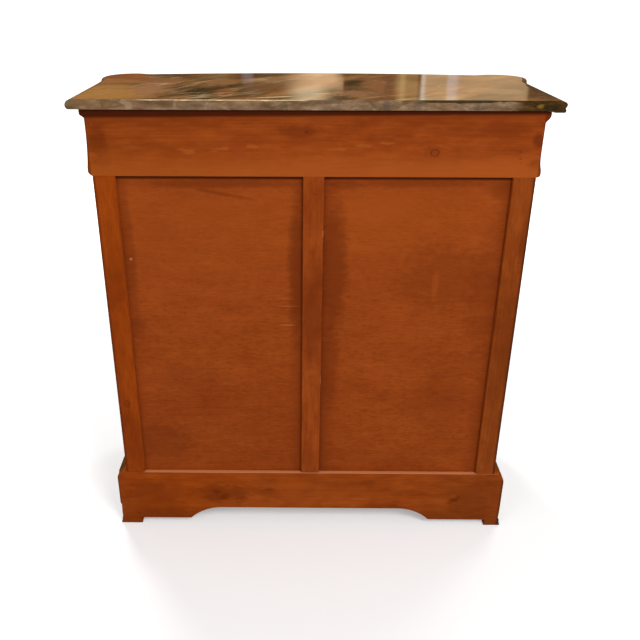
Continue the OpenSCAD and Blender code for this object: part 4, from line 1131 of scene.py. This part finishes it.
def frieze_end(side):
    """End of the frieze board from its foot up: it flares to meet the bead, and its head follows the cornice.
    The left one, on the right from behind, has the fuller cornice, and the other a worn and shorter one."""
    if side < 0:
        ends = ((21.5, 747), (18.6, 748.2), (17, 750), (16.4, 753), (16.4, 757), (17, 761), (18.3, 766))
        ends += ((19.3, 772), (19.9, 780), (20, 790), (20, 838), (18.8, 840), (16.4, 842.5), (13.6, 845.5))
        ends += ((12.3, 849), (12, 853), (12.8, 858))
    else:
        ends = ((22.3, 747), (20, 748.5), (17.6, 751), (16.3, 753.5), (16.1, 758), (16.6, 764), (17.4, 770))
        ends += ((18.3, 780), (19.1, 792), (19.8, 808), (20, 820), (20, 842.5), (19.6, 843.5), (16.8, 846))
        ends += ((13.4, 848), (12.6, 849.5), (12.3, 853), (12.4, 858))
    points = [(0.339, FRIEZE_Z)] + [(HALF_W - e / 1000, z / 1000) for e, z in ends]
    return [(x * side, z) for x, z in points]


def arch_outline():
    """Foot of the plinth from the right-hand end to the left-hand one, with the arched cut-out."""
    half, radius = 0.184, 0.0918
    centre = FOOT_H + 0.028 - radius
    end = math.acos((FOOT_H - centre) / radius)
    right = []
    for i in range(17):
        a = end * (1 - i / 16)
        right.append((half + radius * math.sin(a), centre + radius * math.cos(a)))
    return right + [(-x, z) for x, z in reversed(right)]


def horn(side):
    """End of the plinth board from its foot up. The right one, on the left from behind, has a hollow above a
    sharp arris and a worn step. The left one has a round shoulder."""
    if side > 0:
        points = [(0.3948, FOOT_H), (0.3952, 0.03), (0.3946, 0.0485), (0.3968, 0.0525)]
        points.append((0.3966, PLINTH_TOP - 0.001))
        for i in range(1, 25):
            t = i / 24
            points.append((HALF_W + ogee_out(t) - 0.0018 * (1 - t), PLINTH_TOP + OGEE_H * t))
        points.append((0.377, FLOOR_Z))
    else:
        points = [(0.3962, FOOT_H), (0.3978, FOOT_H + 0.006), (0.3985, 0.04)] + [(x, z) for z, x in SHOULDER]
    return [(x * side, z) for x, z in points + [(0.377, BACK_RAIL_TOP)]]


def on_face(edge):
    return all(vertex.co.y > BOARD_Y - 0.0001 for vertex in edge.verts)


def back_board(node, outline, width, material):
    """A flat board cut to an outline of (x, z) points, with the arrises of its face eased."""
    rings = [[Vector((x, y, z)) for x, z in outline] for y in (FRAME_Y, BOARD_Y)]
    piece = extruded(node + "_wood", rings)
    ease_arrises(piece, width, 2, 0.003, on_face)
    smooth(piece, 32)
    finish_piece(piece, material, "carcass", node)
    return piece


def horn_finish(face):
    """The horns' ends are finished like the ogees that they close: grimy and darkened with painted shade on
    the right, dull on the left.
    """
    above = PLINTH_TOP < face.center.z < FLOOR_Z - 0.0005 and abs(face.center.x) > 0.37
    return (1 if face.center.x > 0 else 2) if above and abs(face.normal.y) < 0.6 else 0


def make_back_boards():
    back_board("frieze_back_board", frieze_end(1) + frieze_end(-1)[::-1], 0.0008, stained_level)
    outline = horn(1) + horn(-1)[::-1] + arch_outline()[::-1]
    plinth = back_board("plinth_back_board", outline, 0.0009, (stained_level, walnut_grimy_shaded, stained_dull))
    share_out(plinth, horn_finish)
    boards("back_stile_left back_stile_right back_muntin", stained_upright, "carcass", "stained_pine", 0.0008)
    boards("back_panel_left back_panel_right", stained_panel, "carcass", "stained_pine", 0.0008)


def make_feet():
    """Feet that flare to a toe. The back left one is narrower. The front ones follow the round corners."""
    feet = []
    for x0, x1 in ((0.3565, 0.3965), (-0.4006, -0.3705)):
        rings = []
        levels = ((FOOT_H, 0), (0.0085, 0), (0.0062, 0.0006), (0.0045, 0.0018), (0.0012, 0.0022), (0, 0.0012))
        for z, out in levels:
            far = BOARD_Y - 0.04 - out
            corners = ((x0 - out, far), (x1 + out, far), (x1 + out, BOARD_Y), (x0 - out, BOARD_Y))
            rings.append([Vector((x, y, z)) for x, y in corners])
        feet.append(extruded("foot", rings))
        ease_arrises(feet[-1], 0.0008, 2, 0.001)
    inner = 0.346
    corner = [(p, n) for p, n in front_stations() + [EAR_SIDE] if p.x > inner]
    corner += [(p, n) for p, n in side_stations(FRAME_Y) if p.y < -0.091]
    for side in (1, -1):
        rings = []
        for z, e in ((FOOT_H, -0.0035), (0.0075, -0.0035), (0.005, -0.0025), (0.0015, -0.0018), (0, -0.0028)):
            ring = [Vector(((p.x + n.x * e) * side, p.y + n.y * e, z)) for p, n in corner]
            rings.append(ring + [Vector((inner * side, ring[-1].y, z))])
        feet.append(extruded("foot", rings))
        ease_arrises(feet[-1], 0.0008, 2, 0.001)
    whole = joined("feet_wood", feet)
    smooth(whole, 34)
    finish_piece(whole, (stained_level, walnut_level), "carcass", "feet")
    share_out(whole, lambda face: face.center.y <= 0)


def make_nails():
    profile = ((-4, 0.9), (-1.2, 0.9), (-0.2, 1.7), (0, 1.8), (0.12, 1.5), (0.2, 0.8), (0.21, 0.01))
    heads = []
    for x, levels in ((0.3695, (0.771, 0.834)), (0.388, (0.0385, 0.0845))):
        for side in (1, -1):
            heads += [turned("nail", Vector((x * side, BOARD_Y, z)), profile, 14) for z in levels]
    finish_piece(joined("back_nails_iron", heads), iron_stained, "carcass", "back_nails")


make_back_boards()
make_feet()
make_nails()

# ---- Carcass, plinth and drawer ----


def make_boards():
    beaded = (0.001, 2, True)
    boards("corner_post_left corner_post_right", walnut_upright, "carcass", "walnut", *beaded)
    boards("frieze_side_left frieze_side_right drawer_rail", walnut_level, "carcass", "walnut", *beaded)
    boards("side_panel_left side_panel_right", walnut_upright, "carcass", "walnut")
    boards("plinth_front plinth_side_left plinth_side_right", walnut_level, "carcass", "walnut", 0.0015)
    boards("bottom_board shelf door_stops", bare_level, "carcass", "inner_pine", 0.001)
    deep = "drawer_runner_left drawer_runner_right drawer_kickers shelf_cleats"
    boards(deep, bare_deep, "carcass", "inner_pine", 0.001)
    board("drawer_front", walnut_level, "drawer", "walnut", 0.0015, 3)
    boards("drawer_side_left drawer_side_right", bare_deep, "drawer", "inner_pine", 0.001)
    boards("drawer_back drawer_bottom", bare_level, "drawer", "inner_pine", 0.0008)


def make_knobs():
    profile = ((10, 3.5), (-0.4, 3.5), (-0.5, 9.5), (-1.6, 10.4), (-2.8, 10), (-4, 7.8), (-5.6, 6.2))
    profile += ((-7.8, 6.2), (-10, 7.5), (-12.5, 11.2), (-14.2, 13.2), (-16.4, 14), (-18.6, 13.7))
    profile += ((-20.5, 12.6), (-22.2, 10.4), (-22.9, 8.2), (-23.1, 6.6), (-23.5, 5), (-23.9, 2.6))
    profile += ((-24, 0.1),)
    apart, height = 0.19, 0.7995
    centres = [Vector((apart * side, bow_y(apart, FRONT_OUT), height)) for side in (1, -1)]
    pair = joined("drawer_knobs_brass", [turned("knob", centre, profile, 40) for centre in centres])
    finish_piece(pair, brass, "drawer", "drawer_knobs")


make_boards()
make_knobs()

# ---- Doors ----

PANEL_X = (0.061, 0.2785)
PANEL_Z = (0.231, 0.685)
PANEL_OUT = -0.031
PANEL_FIELD = ((0.0, 0.0), (0.004, 0.0), (0.0235, 0.0026), (0.024, 0.004), (1.0, 0.004))


def make_door_panel(side, body):
    """A raised and fielded panel that follows the bow."""
    (x0, x1), (z0, z1) = PANEL_X, PANEL_Z
    insets = (-0.0074, 0.0, 0.004, 0.01, 0.017, 0.0235, 0.024)
    middle = [x0 + 0.024 + (x1 - x0 - 0.048) * i / 12 for i in range(1, 12)]
    across = [x0 + d for d in insets] + middle + [x1 - d for d in reversed(insets)]
    upward = [z0 + d for d in insets] + [z1 - d for d in reversed(insets)]
    bpy.ops.object.select_all(action="DESELECT")
    bpy.ops.mesh.primitive_grid_add(x_subdivisions=len(across) - 1, y_subdivisions=len(upward) - 1, size=1)
    piece = bpy.context.object
    piece.name = body + "_panel_wood"
    enter(piece, "FACE")
    mesh = bmesh.from_edit_mesh(piece.data)
    rows = sorted({round(vertex.co.y, 5) for vertex in mesh.verts})
    columns = sorted({round(vertex.co.x, 5) for vertex in mesh.verts})
    for vertex in mesh.verts:
        x = across[columns.index(round(vertex.co.x, 5))]
        z = upward[rows.index(round(vertex.co.y, 5))]
        inside = min(x - x0, x1 - x, z - z0, z1 - z)
        vertex.co = (x * side, bow_y(x, PANEL_OUT + at_step(inside, PANEL_FIELD)), z)
    bpy.ops.mesh.select_all(action="SELECT")
    bpy.ops.mesh.extrude_region_move()
    mesh = bmesh.from_edit_mesh(piece.data)
    for vertex in mesh.verts:
        if vertex.select:
            vertex.co.y = bow_y(vertex.co.x, PANEL_OUT - 0.008)
    bpy.ops.mesh.select_all(action="SELECT")
    bpy.ops.mesh.normals_make_consistent(inside=False)
    bmesh.update_edit_mesh(piece.data)
    leave()
    smooth(piece, 30)
    finish_piece(piece, walnut_upright, body, body + "_panel")


def make_panel_moulding(side, body):
    """An ovolo run round the opening, mitred at its corners. Its profile is in millimetres."""
    profile = ((-0.6, -31.5), (-0.6, -24), (0.2, -22.8), (1.8, -22.4), (3.6, -23), (4.8, -24.5))
    profile += ((5.6, -25.2), (7.8, -26.2), (9.4, -28.2), (10, -30.2), (10, -31.5))
    rings = []
    for d, e in (metres(*row) for row in profile):
        x0, x1 = PANEL_X[0] + d, PANEL_X[1] - d
        z0, z1 = PANEL_Z[0] + d, PANEL_Z[1] - d
        round_it = [(x0 + (x1 - x0) * i / 14, z0) for i in range(14)] + [(x1, z0)]
        round_it += [(x1 - (x1 - x0) * i / 14, z1) for i in range(14)] + [(x0, z1)]
        rings.append([Vector((x * side, bow_y(x, e), z)) for x, z in round_it])
    piece = extruded(body + "_moulding", rings, "loop")
    smooth(piece, 34)
    finish_piece(piece, walnut_upright, body)


def make_doors():
    for side, body in ((-1, "left_door"), (1, "right_door")):
        boards(f"{body}_hinge_stile {body}_meeting_stile", walnut_upright, body, "walnut", 0.001)
        boards(f"{body}_top_rail {body}_bottom_rail", walnut_level, body, "walnut", 0.001)
        make_door_panel(side, body)
        make_panel_moulding(side, body)


def make_ironwork():
    """Hinges, screws, lock, key and bolt keep their shapes, with their arrises taken off."""
    for body in ("carcass", "left_door", "right_door"):
        board(body + "_hinge_leaves", brass, body, "brass", 0.0003)
    board("carcass_hinge_screws", brass, "carcass", "brass", 0.0003)
    board("left_door_screws", brass, "left_door", "brass", 0.0003)
    board("right_door_screws", brass, "right_door", "brass", 0.0003)
    board("lock_case", iron, "right_door", "iron", 0.0004)
    board("door_bolt_plate", iron, "left_door", "iron", 0.0004)
    for body in ("key", "lock_bolt", "door_bolt"):
        board(body, iron, body, "iron", 0.0004)


def make_escutcheon():
    """A turned brass ring round the keyhole."""
    face = bow_y(0.025, -0.024)
    profile = ((-0.4, 4.2), (1, 4.2), (1.6, 5), (1.9, 6.6), (1.6, 8.2), (0.8, 9.2), (-0.4, 9.4))
    rings = [
        [Vector((0.025 + radius * c, face - out, 0.454 + radius * 1.3 * s)) for c, s in circle(36)]
        for out, radius in (metres(*row) for row in profile)
    ]
    piece = extruded("keyhole_ring", rings, "loop")
    smooth(piece, 50)
    finish_piece(piece, brass, "right_door")


make_doors()
make_ironwork()
make_escutcheon()

# ---- Floor, background and lamps ----


def seen(r):
    """1 for what the camera sees, straight or in a reflection, and 0 for the light that falls on things."""
    path = r.add("LightPath")
    reflected = r.math("MAXIMUM", path["Is Glossy Ray"], path["Is Transmission Ray"])
    return r.math("MAXIMUM", path["Is Camera Ray"], reflected)


def make_floor():
    bpy.ops.object.select_all(action="DESELECT")
    bpy.ops.mesh.primitive_plane_add(size=90, location=(0, 0, 0))
    floor = bpy.context.object
    floor.name = "floor"
    r, where = new_finish("pale_floor")
    x, y, _ = r.split(where)
    far = r.math("SQRT", x * x + y * y)
    lift = r.add("MapRange", {0: far, 1: 0.9, 2: 2.4, 3: 0.3, 4: 1.0}, interpolation_type="SMOOTHSTEP")[0]
    for label, value in {
        "Base Color": (0.8, 0.8, 0.8, 1), "Roughness": 0.9, "Specular IOR Level": 0.0,
        "Emission Color": (1, 1, 1, 1), "Emission Strength": lift * seen(r),
    }.items():
        r.fill(r.shader.inputs[label], value)
    floor.data.materials.append(r.material)


def make_room():
    """A dark room with a pale doorway, seen only as a reflection in the polish."""
    bpy.ops.object.select_all(action="DESELECT")
    bpy.ops.mesh.primitive_grid_add(x_subdivisions=2, y_subdivisions=2, size=1)
    card = bpy.context.object
    card.name = "dark_room"
    for vertex in card.data.vertices:
        vertex.co = (vertex.co.x * 6.4, -3.0, 1.45 + vertex.co.y * 2.8)
    material = bpy.data.materials.new("room_reflection")
    material.use_nodes = True
    material.node_tree.nodes.clear()
    r = Recipe(material.node_tree)
    x, _, z = r.split(r.add("TexCoord")["Object"])
    r.colour = (0.03, 0.024, 0.018)
    zones = (
        ((-1.28, -0.674), (1.0, 1.9), (0.52, 0.37, 0.21), (0.012, 0.012)),
        ((-0.686, -0.664), (1.0, 1.9), (0.76, 0.7, 0.62), (0.01, 0.008)),
        ((-0.872, -0.812), (1.0, 1.9), (0.68, 0.58, 0.5), (0.02, 0.01)),
        ((-0.644, -0.522), (1.0, 1.9), (0.26, 0.16, 0.06), (0.006, 0.012)),
        ((-0.572, -0.542), (1.0, 1.9), (0.46, 0.32, 0.14), (0.012, 0.01)),
        ((-0.19, 0.04), (1.0, 1.246), (0.96, 0.65, 0.39), (0.04, 0.13)),
        ((-0.218, 0.04), (1.246, 1.284), (0.98, 0.61, 0.33), (0.006, 0.13)),
        ((-0.212, -0.09), (1.279, 1.287), (1.0, 0.84, 0.55), (0.006, 0.03)),
        ((-0.105, 0.08), (1.284, 1.322), (1.0, 0.88, 0.58), (0.06, 0.07)),
        ((-0.12, 0.07), (1.322, 1.6), (0.78, 0.65, 0.4), (0.07, 0.07)),
        ((0.3, 0.36), (1.0, 1.24), (0.24, 0.22, 0.27), (0.012, 0.02)),
    )
    for (low, high), (foot, head), tint, (soft, softer) in zones:
        inside = r.between(x, low - soft, low + soft, high - softer, high + softer)
        level = r.between(z, foot - 0.01, foot + 0.01, head - 0.008, head + 0.008)
        r.paint(inside * level, tint)
    glow = r.add("Emission", {"Color": r.colour, "Strength": 1.0})[0]
    out = r.tree.nodes.new("ShaderNodeOutputMaterial")
    r.fill(out.inputs["Surface"], glow)
    card.data.materials.append(material)
    card.visible_camera = card.visible_diffuse = card.visible_shadow = card.visible_transmission = False


def make_world():
    world = bpy.data.worlds.new("white")
    world.use_nodes = True
    bpy.context.scene.world = world
    r = Recipe(world.node_tree)
    back = world.node_tree.nodes["Background"]
    r.fill(back.inputs["Color"], (1, 1, 1, 1))
    r.fill(back.inputs["Strength"], r.add("MapRange", {0: seen(r), 3: 0.34, 4: 1.0})[0])


def lamp(name, place, aim, size, watts):
    data = bpy.data.lights.new(name, "AREA")
    data.shape = "DISK"
    data.size = size
    data.energy = watts
    light = bpy.data.objects.new(name, data)
    light.location = place
    light.rotation_euler = (Vector(aim) - Vector(place)).to_track_quat("-Z", "Y").to_euler()
    light.visible_camera = False
    bpy.context.scene.collection.objects.link(light)


make_floor()
make_room()
make_world()
lamp("key", (-1.2, 2.3, 2.4), (0, 0.1, 0.5), 1.2, 58)
lamp("fill", (1.8, 2.4, 1.8), (0, 0.1, 0.45), 1.6, 17)
lamp("front_key", (1.4, -2.3, 2.5), (0, -0.1, 0.45), 1.2, 60)
lamp("front_fill", (-1.7, -2.0, 2.6), (0, -0.1, 0.45), 1.4, 26)

bpy.context.scene.view_settings.view_transform = "Standard"
